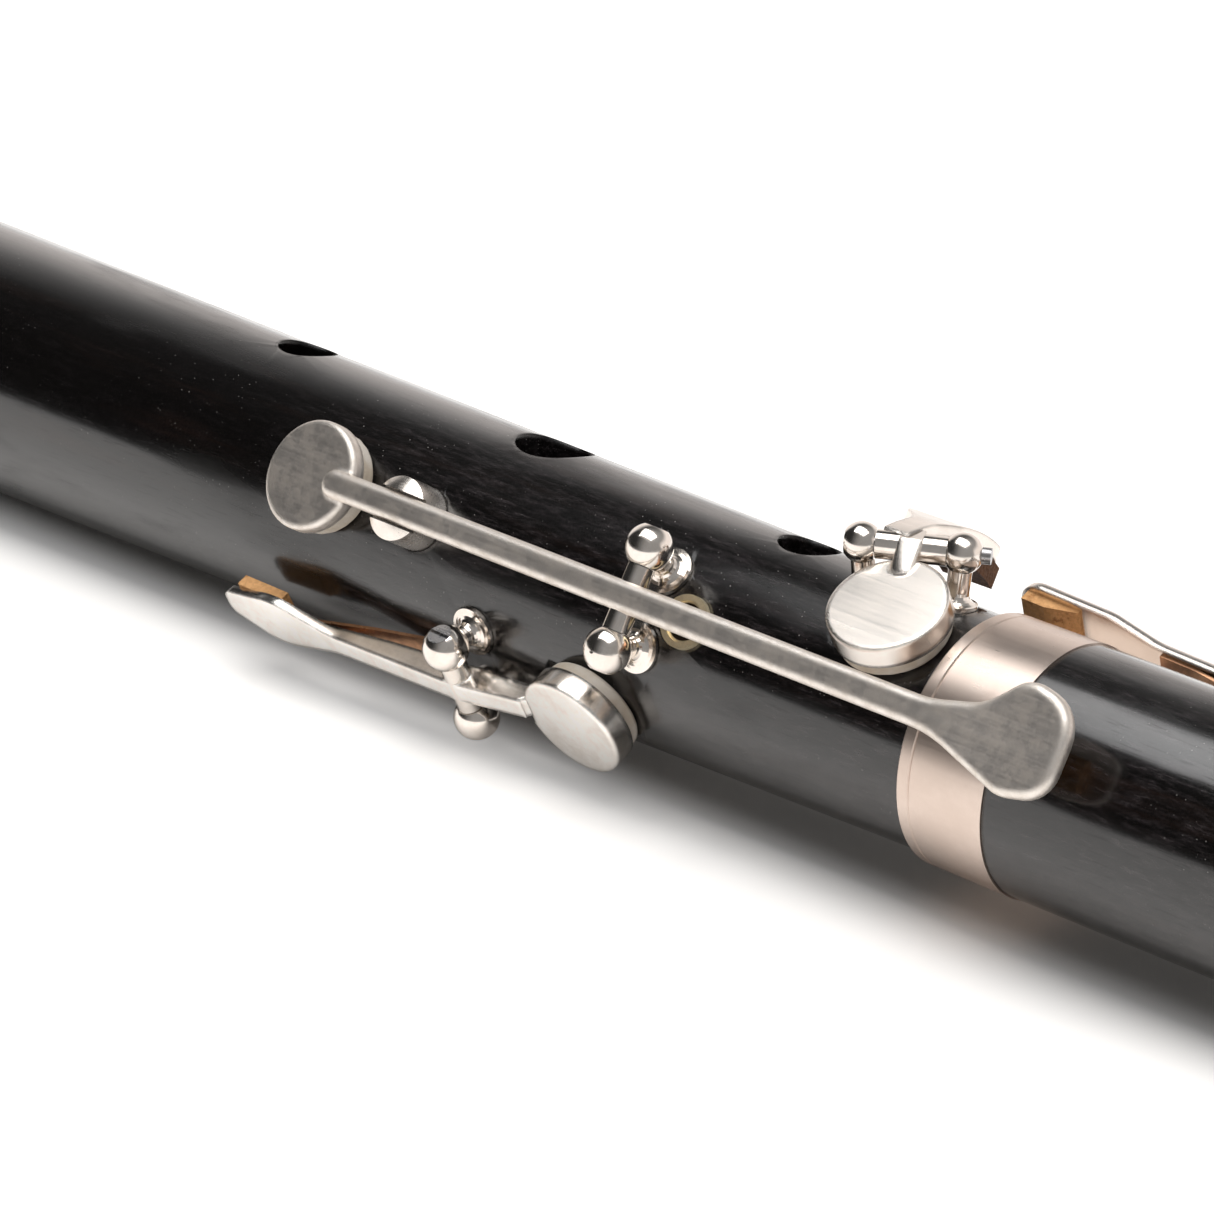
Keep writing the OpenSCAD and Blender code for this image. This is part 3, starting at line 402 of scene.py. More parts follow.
blackwood, wood, wood_shader = start_finish("oiled_blackwood", IOR=1.5, Coat_Roughness=0.12, Coat_IOR=1.5)
dust = use_recipe(wood, handling, Dust=DUST_ON_WOOD)
along = put(wood, "SeparateXYZ", Vector=place_in(wood)).outputs["X"]
handled = spread(wood, along, HANDS_FROM, HANDS_AT, SCUFFS_OFF_HANDS, 1.0)
scuffs = spread(wood, grain_of(wood, **SCUFFS), *SCUFFS_SHOW)
streaks = spread(wood, grain_of(wood, **STREAKS), *STREAKS_SHOW)
streaked = mingle(wood, streaks, HEARTWOOD, BROWN_STREAK)
scuffed = mingle(wood, reckon(wood, "MULTIPLY", scuffs, handled), streaked, SCUFF)
feed(wood, mingle(wood, dust["Grains"], scuffed, DUST_COLOUR), wood_shader.inputs["Base Color"])
print("wood", blackwood.name, "scuffed from mm", round(HANDS_FROM / MM))

# %% [markdown]
# ### The wood's polish
# Oiled wood shines twice: from its own surface, which is a little rough, and from the thin film of oil on it.
# Two mixed shaders could show that, and the Principled shader's coat does it in one. Where fingers have
# smeared the film it is thinner and the wood is duller, and the open pores break it. So the same two masks
# drive the roughness one way and the coat the other way.

# %% Polish the wood
PORES = dict(along=260.0, across=5200.0, Detail=3.0)
PORES_SHOW = (0.56, 0.72)
RUBBED_CLEAN, RUBBED_SMEARED, PORE_DULL = 0.18, 0.30, 0.05
FILM_CLEAN, FILM_SMEARED, PORE_BREAK = 0.7, 0.3, 0.2

pores = spread(wood, grain_of(wood, **PORES), *PORES_SHOW)
rubbed = spread(wood, dust["Smears"], 0.0, 1.0, RUBBED_CLEAN, RUBBED_SMEARED)
dull_pores = reckon(wood, "MULTIPLY", pores, PORE_DULL)
feed(wood, reckon(wood, "ADD", rubbed, dull_pores), wood_shader.inputs["Roughness"])
film = spread(wood, dust["Smears"], 0.0, 1.0, FILM_CLEAN, FILM_SMEARED)
broken_film = reckon(wood, "MULTIPLY", pores, PORE_BREAK)
feed(wood, reckon(wood, "SUBTRACT", film, broken_film), wood_shader.inputs["Coat Weight"])
print("polish from roughness", RUBBED_CLEAN, "to", RUBBED_SMEARED)

# %% [markdown]
# ### The wood's relief
# A rubbed tube isn't quite even: the cloth leaves slow waves, and the pores are tiny pits. Both are a few
# hundredths of a millimetre deep at most, which is far too fine for a mesh, so they are a bump. The waves
# bend the long highlight a little, and that is what tells the eye that this is wood.

# %% Raise the grain
WAVES = dict(along=18.0, across=130.0, Detail=2.0)
WAVE_HIGH = 6.0
RELIEF = dict(depth_mm=0.01, strength=0.25)

waves = reckon(wood, "MULTIPLY", grain_of(wood, **WAVES), WAVE_HIGH)
relief = emboss(wood, wood_shader, reckon(wood, "SUBTRACT", waves, pores), **RELIEF)
print("relief of mm", RELIEF["depth_mm"])

# %% [markdown]
# ### A turned surface
# A lathe leaves a surface that is round all the way, and the mesh of the solid is flat between its corners,
# which shows in a polish beside the holes. More corners would help, but the solid isn't to be changed. So
# the shader finds the direction away from the tube's axis by itself, and uses it wherever the mesh faces
# nearly that way. Elsewhere, at the rims of holes and at the ends, it rounds the edges a little, as
# sandpaper does.

# %% Round the tube
RIM_ROUND = 0.8 * MM
RIM_SAMPLES = 8
AGREES = (0.975, 0.992)

from_axis = vector_sum(wood, "MULTIPLY", place_in(wood), (0, 1, 1))["Vector"]
outwards = put(wood, "VectorTransform", vector_type="NORMAL", Vector=from_axis)
outwards.convert_from, outwards.convert_to = "OBJECT", "WORLD"
turned = vector_sum(wood, "NORMALIZE", outwards.outputs["Vector"])["Vector"]
sanded = put(wood, "Bevel", samples=RIM_SAMPLES, Radius=RIM_ROUND).outputs["Normal"]
on_tube = spread(wood, vector_sum(wood, "DOT_PRODUCT", sanded, turned)["Value"], *AGREES)
rounded = put(wood, "Mix", data_type="VECTOR")
feed(wood, on_tube, rounded.inputs[0])
feed(wood, sanded, rounded.inputs[4])
feed(wood, turned, rounded.inputs[5])
feed(wood, rounded.outputs[1], relief.inputs["Normal"])
print("rims rounded by mm", RIM_ROUND / MM)

# %% [markdown]
# ## Silver
# The keywork is solid silver. The posts and their balls are almost mirrors, the levers and cups are handled
# and more or less satin, and the rings are polished and a little pink. Each could be a material of its own
# making, but they differ only in their tarnish and in how far they are polished, so one function makes them
# all from the tarnish recipe.

# %% Finish the silver
SILVER = (0.90, 0.84, 0.78, 1.0)
WHITE_SILVER = (0.97, 0.94, 0.90, 1.0)
GREY_STAIN = (0.60, 0.53, 0.455, 1.0)
BROWN_STAIN = (0.60, 0.49, 0.38, 1.0)
PINK_SILVER = (0.74, 0.62, 0.545, 1.0)
PINK_STAIN = (0.55, 0.43, 0.36, 1.0)
SMEAR_DULL = 0.05
LINE_STRENGTH = 0.25


def metal_finish(name, polish, amount, patches, clean=SILVER, stain=GREY_STAIN, line_mm=0.001, edge_mm=0.0):
    """Metal of that polish (a roughness) with that amount of tarnish, in so many patches per metre."""
    finish, tree, shader = start_finish(name, Metallic=1.0)
    worn = use_recipe(tree, tarnish, Clean=clean, Stain=stain, Amount=amount, Patches=patches, Polish=polish)
    feed(tree, worn["Colour"], shader.inputs["Base Color"])
    smeared = reckon(tree, "MULTIPLY", use_recipe(tree, handling, Dust=0.0)["Smears"], SMEAR_DULL)
    feed(tree, reckon(tree, "ADD", worn["Roughness"], smeared), shader.inputs["Roughness"])
    emboss(tree, shader, worn["Height"], line_mm, LINE_STRENGTH, edge_mm)
    return finish


post_silver = metal_finish("polished_post_silver", 0.12, 0.25, 420.0, stain=BROWN_STAIN, line_mm=0.0005)
satin_lever = metal_finish("satin_lever_silver", 0.39, 0.5, 560.0, edge_mm=0.8)
bright_lever = metal_finish("bright_lever_silver", 0.19, 0.2, 200.0, line_mm=0.0004, edge_mm=0.6)
stained_lever = metal_finish(
    "stained_lever_silver", 0.15, 0.35, 240.0, WHITE_SILVER, BROWN_STAIN, line_mm=0.0005, edge_mm=0.7
)
ring_silver = metal_finish("ring_silver", 0.28, 0.3, 110.0, PINK_SILVER, PINK_STAIN)
slide_silver = metal_finish("drawn_slide_silver", 0.22, 0.4, 90.0)
print("silver for levers", [finish.name for finish in (satin_lever, bright_lever, stained_lever)])
print("silver for the rest", [finish.name for finish in (post_silver, ring_silver, slide_silver)])

# %% [markdown]
# ## Steel, bronze and brass
# The pivot screws are turned steel, the leaf springs are rolled bronze, and one spring presses on a small
# brass seat. New recipes could be written for them, but they are metals that stain as silver does, so they
# use the same one with other colours.

# %% Finish the other metals
STEEL = (0.56, 0.56, 0.57, 1.0)
STEEL_STAIN = (0.22, 0.19, 0.17, 1.0)
BRONZE = (0.66, 0.36, 0.20, 1.0)
BRONZE_STAIN = (0.20, 0.095, 0.06, 1.0)
BRASS = (0.95, 0.82, 0.57, 1.0)
BRASS_STAIN = (0.30, 0.22, 0.13, 1.0)

screw_steel = metal_finish("turned_screw_steel", 0.22, 0.6, 700.0, STEEL, STEEL_STAIN)
spring_bronze = metal_finish("rolled_spring_bronze", 0.26, 0.6, 300.0, BRONZE, BRONZE_STAIN)
seat_brass = metal_finish("dull_seat_brass", 0.44, 0.3, 500.0, BRASS, BRASS_STAIN)
print("metals", screw_steel.name, spring_bronze.name, seat_brass.name)

# %% [markdown]
# ### The dish of the spring's seat
# The brass seat under the C key's spring is a tiny dish, and shade lies in its hollow. That shade is painted
# into the colour: the dish is darkened, and the rim keeps the plain brass. A second material on its faces
# would end in a hard line. The distance from the seat's axis is all the mask that this needs, so the brass
# keeps its own recipe and the painted shade is laid over its colour.

# %% Paint shade into the dish
# Painted shade: the hollow of the seat's dish is darkened in its colour, and the rim keeps the plain brass.
DISH_RADIUS = 1.95 * MM
DISH_SHADE_FADES = 0.93
DISH_PAINTED_SHADE = (0.035, 0.026, 0.018, 1.0)


def only_node(tree, kind):
    """The one node of that kind in a tree."""
    return next(node for node in tree.nodes if node.type == kind)


seat = seat_brass.node_tree
seat_colour = only_node(seat, "BSDF_PRINCIPLED").inputs["Base Color"]
seat_low, seat_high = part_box("c_spring_seat")
seat_middle = (seat_low + seat_high) / 2
seat_axis = Vector((0, seat_middle.y, seat_middle.z)).normalized()
from_middle = vector_sum(seat, "SUBTRACT", place_in(seat), seat_middle)["Vector"]
sideways = vector_sum(seat, "CROSS_PRODUCT", from_middle, seat_axis)["Vector"]
outside_dish_shade = spread(seat, vector_sum(seat, "LENGTH", sideways)["Value"], DISH_SHADE_FADES * DISH_RADIUS, DISH_RADIUS)
plain_brass = seat_colour.links[0].from_socket
# Painted shade laid over the brass colour inside the dish.
feed(seat, mingle(seat, outside_dish_shade, DISH_PAINTED_SHADE, plain_brass), seat_colour)
print("dish of the seat, radius in mm", round(DISH_RADIUS / MM, 2))

# %% [markdown]
# ## Corks
# Under each touch a slip of cork stops the key without a click. On the keys that lie along the tube it is
# fresh and orange, on the two cross keys it is old and dark, and the tenons are wrapped in greased cork.
# Plain colours would look like rubber, so each takes the cork recipe with a rough, pitted surface.

# %% Finish the corks
CORK_RELIEF = dict(depth_mm=0.12, strength=0.7)
CORK_HEIGHTS = (-1.0, 0.6)
RUBBED_SMOOTHER = 0.15


def cork_finish(name, light, dark, cells, dryness):
    """Cut cork with those two colours, so many cells per metre and that roughness in its pits."""
    finish, tree, shader = start_finish(name)
    cork = use_recipe(tree, cork_grain, Light=light, Dark=dark, Cells=cells)
    feed(tree, cork["Colour"], shader.inputs["Base Color"])
    rough = spread(tree, cork["Height"], *CORK_HEIGHTS, dryness, dryness - RUBBED_SMOOTHER)
    feed(tree, rough, shader.inputs["Roughness"])
    emboss(tree, shader, cork["Height"], **CORK_RELIEF)
    return finish


key_cork = cork_finish("fresh_key_cork", (0.90, 0.50, 0.21, 1.0), (0.52, 0.23, 0.08, 1.0), 2600.0, 0.9)
dark_cork = cork_finish("old_key_cork", (0.20, 0.085, 0.035, 1.0), (0.06, 0.025, 0.012, 1.0), 2600.0, 0.9)
tenon_cork = cork_finish("greased_tenon_cork", (0.50, 0.30, 0.15, 1.0), (0.22, 0.11, 0.05, 1.0), 1500.0, 0.6)
print("corks", key_cork.name, dark_cork.name, tenon_cork.name)

# %% [markdown]
# ## Dressing the solids
# Each solid already names the material that it is made of, so one table from those names to the finishes
# dresses them all, and nothing has to be picked by hand. Only the C key's guide differs: the lever rubs in
# its slot, so it is less bright than the posts. The wooden solids also get a Weighted Normal modifier, which
# lets their broad faces lead the shading, so that thin faces at a hole leave no wedge in the polish. The
# solids of the levers, springs and pads are replaced in later steps.

# %% Dress the solids
finish_of_slot = {
    "blackwood": blackwood, "key_silver": post_silver, "ring_silver": ring_silver,
    "slide_metal": slide_silver, "steel": screw_steel, "spring_bronze": spring_bronze,
    "brass": seat_brass, "key_cork": key_cork, "dark_cork": dark_cork, "tenon_cork": tenon_cork,
}


def dress(piece, finish):
    """Gives the whole piece one finish."""
    piece.data.materials.clear()
    piece.data.materials.append(finish)


for node, solid in frame["nodes"].items():
    slot = slot_of_node[node]
    if slot in finish_of_slot:
        dress(solid, finish_of_slot[slot])
    if slot == "blackwood":
        solid.modifiers.new("broad faces lead", "WEIGHTED_NORMAL").keep_sharp = True
dress(frame["nodes"]["c_key_guide"], slide_silver)
print("dressed", sum(slot_of_node[n] in finish_of_slot for n in frame["nodes"]), "solids")

# %% [markdown]
# ## Copying a solid for closer work
# Some pieces need more than a finish: levers have to be smooth, springs have to bend, and pads are soft. The
# solids themselves aren't to be changed, so each of these becomes a new piece that replaces its solid. A
# solid comes as many thin triangles with corners of their own. A working copy in bmesh welds the corners,
# and joins triangles that lie in one plane, so that a flat is one face and shades as one.

# %% Weld a copy of a solid
WELD = 0.003 * MM
FLAT_WITHIN = math.radians(0.4)


def welded(node):
    """A working copy of a solid's mesh whose faces share their corners."""
    work = bmesh.new()
    work.from_mesh(frame["nodes"][node].data)
    bmesh.ops.remove_doubles(work, verts=work.verts, dist=WELD)
    bmesh.ops.dissolve_limit(work, angle_limit=FLAT_WITHIN, verts=work.verts, edges=work.edges)
    bmesh.ops.recalc_face_normals(work, faces=work.faces)
    return work


def corners_and_faces(work):
    """The points and faces of a working copy, which is then put away."""
    work.verts.index_update()
    points = [v.co.copy() for v in work.verts]
    faces = [[v.index for v in face.verts] for face in work.faces]
    work.free()
    return points, faces


def new_piece(name, points, faces, finish, node, slot):
    """A smooth piece in place of a solid."""
    mesh = bpy.data.meshes.new(name)
    mesh.from_pydata(points, [], faces)
    mesh.polygons.foreach_set("use_smooth", [True] * len(mesh.polygons))
    piece = bpy.data.objects.new(name, mesh)
    bpy.context.scene.collection.objects.link(piece)
    dress(piece, finish)
    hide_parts(node)
    return piece


key_names = [body[:-len("_key")] for body in frame["bodies"] if body.endswith("_key")]
print("keys", key_names)

# %% [markdown]
# ### The tube of a hinge
# Under each lever a short tube turns on the pivot screw. No finger reaches it, so it keeps the polish of the
# posts, while the lever above it goes satin. The faces could be picked in edit mode, but the joint already
# says where its axis is: a face is part of the tube if it lies at the tube's radius and looks away from
# that axis.

# %% Find a hinge's tube
HINGE_RADIUS = 1.4 * MM
HINGE_SLACK = 0.06 * MM
LOOKS_AWAY = 0.97


def hinge_of(key):
    """The joint that a key turns on."""
    return next(joint for joint in frame["joints"] if joint["name"] == key + "_key_press")


def on_hinge(face, hinge):
    """True for a face of the tube that turns round that hinge's axis."""
    axis = Vector(hinge["axis"])
    out = face.center - Vector(hinge["pos_m"])
    out -= axis * out.dot(axis)
    at_radius = abs(out.length - HINGE_RADIUS) < HINGE_SLACK
    return at_radius and out.normalized().dot(face.normal) > LOOKS_AWAY


print("hinges", [hinge_of(key)["name"] for key in key_names])

# %% [markdown]
# ## Levers
# A lever is filed from sheet silver, and its rounded edge is what catches the light. The solid's edge is
# made of narrow flats, which a mirror finish would show. A subdivision surface would smooth them, but it
# would also swell the flats of the cups. So each lever is a welded copy, shaded smooth up to a sharp corner,
# with its normals weighted so that the broad flats stay flat.

# %% Smooth the levers
SHARP_CORNER = math.radians(38)
LEVER_FINISH = {"c": satin_lever, "b_flat": stained_lever}


def smooth_lever(key):
    """A welded copy of a key's lever, with a polished hinge tube."""
    node = key + "_key_lever"
    finish = LEVER_FINISH.get(key, bright_lever)
    lever = new_piece(key + "_lever", *corners_and_faces(welded(node)), finish, node, "key_silver")
    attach(lever, key + "_key")
    lever.data.set_sharp_from_angle(angle=SHARP_CORNER)
    lever.data.materials.append(post_silver)
    for face in lever.data.polygons:
        face.material_index = int(on_hinge(face, hinge_of(key)))
    lever.modifiers.new("broad flats stay flat", "WEIGHTED_NORMAL").keep_sharp = True
    return lever


for key in key_names:
    faces = smooth_lever(key).data.polygons
    print("lever", key, len(faces), "faces", sum(face.material_index for face in faces), "of tube")

# %% [markdown]
# ## Springs
# A leaf of rolled bronze under each touch holds its pad shut. One end is fixed to the lever, and the other
# rests on the wood and slides there, so the leaf bends when the key is pressed. A stiff copy that turned
# with the key would cut into the wood. Each leaf is cut across into short lengths, from the end that the
# lever holds to the free end, and the copy stays where its solid lay.

# %% Cut the springs
LEAF_CUTS = 14
HELD_WITHIN = 0.05 * MM


def ends_of_leaf(points):
    """Where a leaf leaves its lever, and its free end, the point nearest to the tube's axis."""
    height = [math.hypot(p.y, p.z) for p in points]
    free = points[height.index(min(height))]
    held = [p for p, h in zip(points, height) if h > max(height) - HELD_WITHIN]
    return min(held, key=lambda p: (p - free).length), free


def bend_leaf(key):
    """A spring cut across into short lengths, and the length from its held end to its free end."""
    node = key + "_key_spring"
    work = welded(node)
    held, free = ends_of_leaf([v.co.copy() for v in work.verts])
    for cut in range(1, LEAF_CUTS):
        geometry = work.verts[:] + work.edges[:] + work.faces[:]
        spot = held.lerp(free, cut / LEAF_CUTS)
        bmesh.ops.bisect_plane(work, geom=geometry, plane_co=spot, plane_no=free - held)
    leaf = new_piece(key + "_spring", *corners_and_faces(work), spring_bronze, node, "spring_bronze")
    leaf.data.set_sharp_from_angle(angle=SHARP_CORNER)
    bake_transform(leaf)
    return (free - held).length


for key in key_names:
    print("spring", key, "bends over mm", round(bend_leaf(key) / MM, 1))

# %% [markdown]
# ## Pad leather
# The pads are covered in thin cream leather, which yellows in patches and has the fine cells of a hide. A
# plain cream would look like paint. A Voronoi pattern gives the cells as a bump, and a noise mixes the fresh
# and the aged colour and dulls the aged leather.

# %% Finish the pad leather
FRESH_LEATHER = (0.82, 0.75, 0.66, 1.0)
AGED_LEATHER = (0.68, 0.58, 0.46, 1.0)
FRESH_ROUGH, AGED_ROUGH = 0.5, 0.7
HIDE_CELLS_PER_M = 3800.0
HIDE_RELIEF = dict(depth_mm=0.05, strength=0.5)
AGEING = dict(per_metre=350.0, Detail=4.0)
AGEING_SHOWS = (0.4, 0.7)

pad_leather, skin, skin_shader = start_finish("cream_pad_leather", IOR=1.45)
hide = put(skin, "TexVoronoi", Vector=place_in(skin), Scale=HIDE_CELLS_PER_M).outputs["Distance"]
aged = spread(skin, blotches_of(skin, **AGEING), *AGEING_SHOWS)
feed(skin, mingle(skin, aged, FRESH_LEATHER, AGED_LEATHER), skin_shader.inputs["Base Color"])
feed(skin, spread(skin, aged, 0.0, 1.0, FRESH_ROUGH, AGED_ROUGH), skin_shader.inputs["Roughness"])
emboss(skin, skin_shader, hide, **HIDE_RELIEF)
print("leather", pad_leather.name)

# %% [markdown]
# ## The section of a pad
# A pad is a disc of felt in a skin of thin leather, gathered at the back and glued into its cup. It is a
# stiff little cushion: its face is drawn flat and its edge is round. A cloth simulation of so small and hard
# a disc would change nothing that can be seen, so it is turned, like a knob on a lathe. Its place and size
# come from the solid that it replaces, and this step draws the section that will be turned.

# %% Draw a pad's section
PAD_ROUND = 0.55 * MM
PAD_DRAWN_IN = 0.04 * MM
PAD_FACE_RINGS = (0.3, 0.6, 0.8)
PAD_EDGE_ANGLES = [math.radians(angle) for angle in range(-90, 1, 15)]
PAD_SIDE_AT = 0.2
BACK_PUCKER = 0.3


def disc_of(node):
    """Centre, outward axis, radius and half thickness of a pad's solid."""
    spots = [v.co.copy() for v in frame["nodes"][node].data.vertices]
    low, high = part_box(node)
    middle = (low + high) / 2
    out = Vector((0, middle.y, middle.z)).normalized()
    heights = [(p - middle).dot(out) for p in spots]
    middle += out * (max(heights) + min(heights)) / 2
    half = (max(heights) - min(heights)) / 2
    radius = max(((p - middle) - out * (p - middle).dot(out)).length for p in spots)
    return middle, out, radius, half


def pad_section(radius, half):
    """Points (radius, height, share of pucker) from the middle of the face, round the edge, to the back."""
    edge_radius, edge_height = radius - PAD_ROUND, -half + PAD_ROUND
    face = [(radius * share, -half + PAD_DRAWN_IN * (1 - share), 0.0) for share in PAD_FACE_RINGS]
    edge = [
        (edge_radius + PAD_ROUND * math.cos(a), edge_height + PAD_ROUND * math.sin(a), math.cos(a))
        for a in PAD_EDGE_ANGLES
    ]
    return face + edge + [(radius, PAD_SIDE_AT * half, 1.0), (radius, half, BACK_PUCKER)]


for key in key_names:
    print("pad", key, "radius in mm", round(disc_of(key + "_key_pad")[2] / MM, 2))

# %% [markdown]
# ## Pads
# The skin of a pad puckers where it turns over the edge. A bump could fake the folds, but the edge is seen
# from the side when a key opens, so they are real: each ring of points is drawn in at every pucker, at some
# more than at others. Rings joined by faces make the skin, with a fan of faces over the front and the back.

# %% Turn the pads
PAD_STEPS = 96
PAD_CLEAR = 0.02 * MM
PUCKERS = 22
PUCKER_DEEP = 0.05 * MM
UNEVEN_TIMES, UNEVEN_START, UNEVEN_BY = 5, 1.3, 0.4
ALONG_TUBE = Vector((1, 0, 0))


def pucker_at(angle):
    """How far the skin is drawn in at an angle round the pad."""
    uneven = 1 - UNEVEN_BY + UNEVEN_BY * math.sin(UNEVEN_TIMES * angle + UNEVEN_START)
    return PUCKER_DEEP * uneven * (0.5 + 0.5 * math.cos(PUCKERS * angle))


def pad_points(middle, out, half, section):
    """The middle of the face, a ring for each point of the section, and the middle of the back."""
    across = out.cross(ALONG_TUBE).normalized()
    points = [middle - out * (half - PAD_DRAWN_IN)]
    for radius, height, share in section:
        for step in range(PAD_STEPS):
            angle = math.tau * step / PAD_STEPS
            side = ALONG_TUBE * math.cos(angle) + across * math.sin(angle)
            points.append(middle + side * (radius - share * pucker_at(angle)) + out * height)
    return points + [middle + out * half]


def pad_faces(rings):
    """Faces that join so many rings, with a fan over the front and one over the back."""
    last = 1 + rings * PAD_STEPS
    back = last - PAD_STEPS
    faces = []
    for step in range(PAD_STEPS):
        after = (step + 1) % PAD_STEPS
        faces.append([0, 1 + after, 1 + step])
        for near in range(1, back, PAD_STEPS):
            far = near + PAD_STEPS
            faces.append([near + step, near + after, far + after, far + step])
        faces.append([last, back + step, back + after])
    return faces


def make_pad(key):
    """The leather pad of a key, in its cup."""
    node = key + "_key_pad"
    middle, out, radius, half = disc_of(node)
    section = pad_section(radius - PAD_CLEAR, half - PAD_CLEAR)
    points = pad_points(middle, out, half - PAD_CLEAR, section)
    pad = new_piece(key + "_pad", points, pad_faces(len(section)), pad_leather, node, "pad_leather")
    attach(pad, key + "_key")
    return pad


for key in key_names:
    pad = make_pad(key)
    print("pad", pad.name, len(pad.data.polygons), "faces")

# %% [markdown]
# ## The table
# The flute lies on a white table that runs up to a white background. A curved sheet could join the two, but
# the camera sees only table, so a plane is enough, just under the lowest point of the solids.

# %% Lay the table
TABLE_HALF = 20.0
TABLE_GAP = 0.02 * MM

table_z = solids_low.z - TABLE_GAP
corners = [(x * TABLE_HALF, y * TABLE_HALF, table_z) for x, y in ((-1, -1), (1, -1), (1, 1), (-1, 1))]
table_mesh = bpy.data.meshes.new("white_table")
table_mesh.from_pydata(corners, [], [[0, 1, 2, 3]])
table = bpy.data.objects.new("white_table", table_mesh)
bpy.context.scene.collection.objects.link(table)
print("table at mm", round(table_z / MM, 2))

# %% [markdown]
# ### Distance from the flute
# The table in the photograph is grey close to the flute and plain white a few centimetres away, so its
# finish has to know how far a point is from the flute. A painted gradient would fit one view only. The
# distance is measured in the shader: from the tube's axis or, beyond an end, from that end.

# %% Measure from the flute
TABLE_COLOUR = (0.92, 0.885, 0.85, 1.0)

white, board, board_shader = start_finish(
    "white_table", Base_Color=TABLE_COLOUR, Roughness=0.9, Specular_IOR_Level=0.0
)
middle_x, half_length = (solids_low.x + solids_high.x) / 2, (solids_high.x - solids_low.x) / 2
spot = put(board, "SeparateXYZ", Vector=place_in(board)).outputs
from_middle = reckon(board, "ABSOLUTE", reckon(board, "SUBTRACT", spot["X"], middle_x))
past_end = reckon(board, "MAXIMUM", reckon(board, "SUBTRACT", from_middle, half_length), 0.0)
way_out = put(board, "CombineXYZ", X=past_end, Y=spot["Y"]).outputs["Vector"]
away = vector_sum(board, "LENGTH", way_out)["Value"]
print("distance from a tube of half length in mm", round(half_length / MM, 1))

# %% [markdown]
# ### The table's glow
# The photograph's table is over-lit, and only the shadow close to the flute is grey. A stronger lamp would
# bleach the silver too. So the table keeps the lamp's shadow, and a glow that only the camera and mirrors
# see rises with the distance from the flute, until far out the table is plain white. Light Path tells the
# shader which kind of ray has come, so the glow lights nothing.

# %% Let the table glow
GLOW = 0.43
GLOW_FROM, GLOW_AT = 2 * MM, 15 * MM
MIRROR_FROM, MIRROR_AT = 3 * MM, 28 * MM
WHITE_FROM, WHITE_AT = 0.45, 1.1


def rays_of(tree):
    """Masks of the rays that come from the camera, and of those that come by way of something shiny."""
    ray = put(tree, "LightPath").outputs
    mirrored = reckon(tree, "MAXIMUM", ray["Is Glossy Ray"], ray["Is Transmission Ray"])
    return ray["Is Camera Ray"], mirrored


direct, mirrored = rays_of(board)
to_camera = reckon(board, "MULTIPLY", direct, spread(board, away, GLOW_FROM, GLOW_AT, 0.0, GLOW))
to_mirrors = reckon(board, "MULTIPLY", mirrored, spread(board, away, MIRROR_FROM, MIRROR_AT, 0.0, GLOW))
glow = put(board, "Emission", Strength=reckon(board, "ADD", to_camera, to_mirrors))
near_flute = put(board, "AddShader")
feed(board, board_shader.outputs["BSDF"], near_flute.inputs[0])
feed(board, glow.outputs["Emission"], near_flute.inputs[1])
far_out = spread(board, away, WHITE_FROM, WHITE_AT)
seen = reckon(board, "MAXIMUM", direct, mirrored)
all_table = put(board, "MixShader")
feed(board, reckon(board, "MULTIPLY", seen, far_out), all_table.inputs[0])
feed(board, near_flute.outputs[0], all_table.inputs[1])
feed(board, put(board, "Emission", Strength=1.0).outputs["Emission"], all_table.inputs[2])
feed(board, all_table.outputs[0], only_node(board, "OUTPUT_MATERIAL").inputs["Surface"])
dress(table, white)
print("glow", GLOW, "from", GLOW_FROM / MM, "to", GLOW_AT / MM, "mm")

# %% [markdown]
# ## The lamp
# The square highlights on the balls of the posts show a single large softbox above the flute, a little to
# the left. Several small lamps would give several highlights. One area lamp of that shape gives the squares
# on the balls, the soft shadow and the long streak on the wood.

# %% Hang the softbox
SOFTBOX_SIZE = (2.2, 1.35)
SOFTBOX_PLACE = (-0.28, -0.17, 1.9)
SOFTBOX_POWER = 35.0

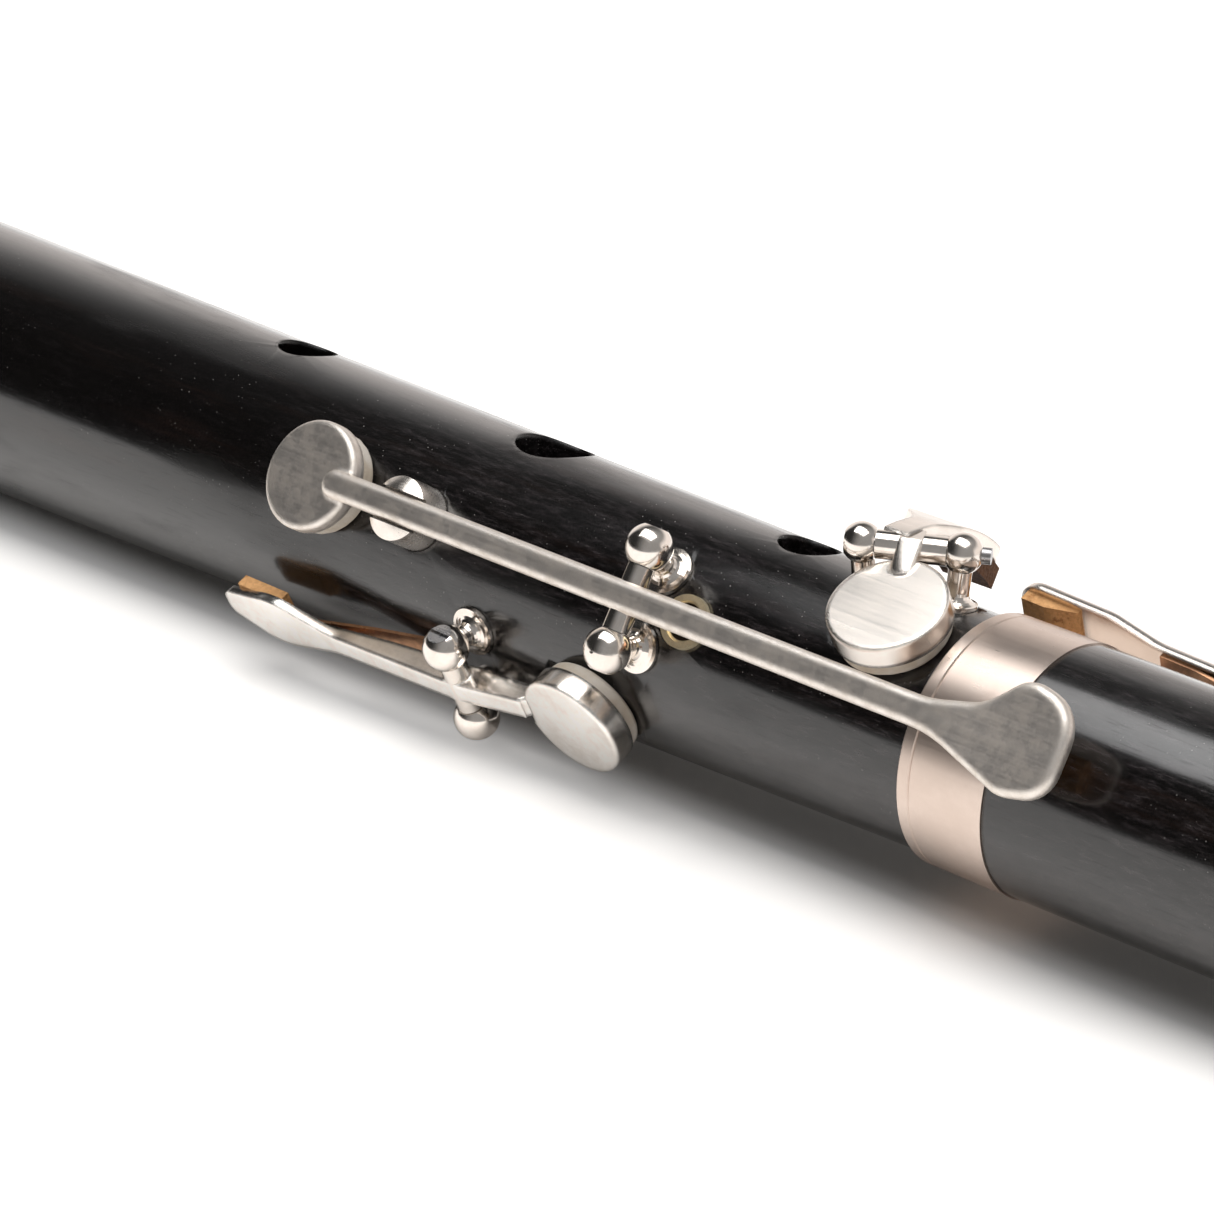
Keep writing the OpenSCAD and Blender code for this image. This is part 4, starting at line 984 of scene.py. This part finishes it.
softbox = bpy.data.objects.new("softbox", bpy.data.lights.new("softbox", "AREA"))
softbox.data.shape = "RECTANGLE"
softbox.data.size, softbox.data.size_y = SOFTBOX_SIZE
softbox.data.energy = SOFTBOX_POWER
softbox.location = SOFTBOX_PLACE
bpy.context.scene.collection.objects.link(softbox)
print("softbox", SOFTBOX_SIZE, "m at", SOFTBOX_PLACE)

# %% [markdown]
# ## The room
# Black wood is black only where it mirrors a dark room, and silver is grey only where it mirrors a grey one.
# In the photograph the left of the room is dark and the right is grey. A white backdrop stands behind the
# table, and the wood's upper edge mirrors it. Walls could be built for all three, but the world can hold
# them: its direction picks the part of the room, and the white of the backdrop is only for the camera and
# for mirrors, so it adds no light. In mirrors it is a little warm, as the silver in the photograph is.

# %% Paint the room
ROOM_DARK, ROOM_GREY = 0.025, 0.30
DARK_UP_TO, GREY_FROM = -0.6, 0.5
BACKDROP_FULL, BACKDROP_TOP = 0.28, 0.78
BACKDROP_DEEP = 0.3
PLAIN_WHITE = (1.0, 1.0, 1.0, 1.0)
WARM_WHITE = (1.0, 0.93, 0.89, 1.0)

room = bpy.data.worlds.new("dark_room")
room.use_nodes = True
bpy.context.scene.world = room
air = room.node_tree
background = only_node(air, "BACKGROUND").inputs
way = put(air, "SeparateXYZ", Vector=put(air, "TexCoord").outputs["Generated"]).outputs
walls = spread(air, way["X"], DARK_UP_TO, GREY_FROM, ROOM_DARK, ROOM_GREY)
low_down = spread(air, way["Z"], BACKDROP_FULL, BACKDROP_TOP, 1.0, 0.0)
behind = reckon(air, "MULTIPLY", spread(air, way["Y"], 0.0, BACKDROP_DEEP), low_down)
direct, mirrored = rays_of(air)
in_mirrors = reckon(air, "MULTIPLY", mirrored, behind)
backdrop = reckon(air, "MAXIMUM", direct, in_mirrors)
feed(air, reckon(air, "MAXIMUM", walls, backdrop), background["Strength"])
feed(air, mingle(air, in_mirrors, PLAIN_WHITE, WARM_WHITE), background["Color"])
print("walls from", ROOM_DARK, "to", ROOM_GREY)
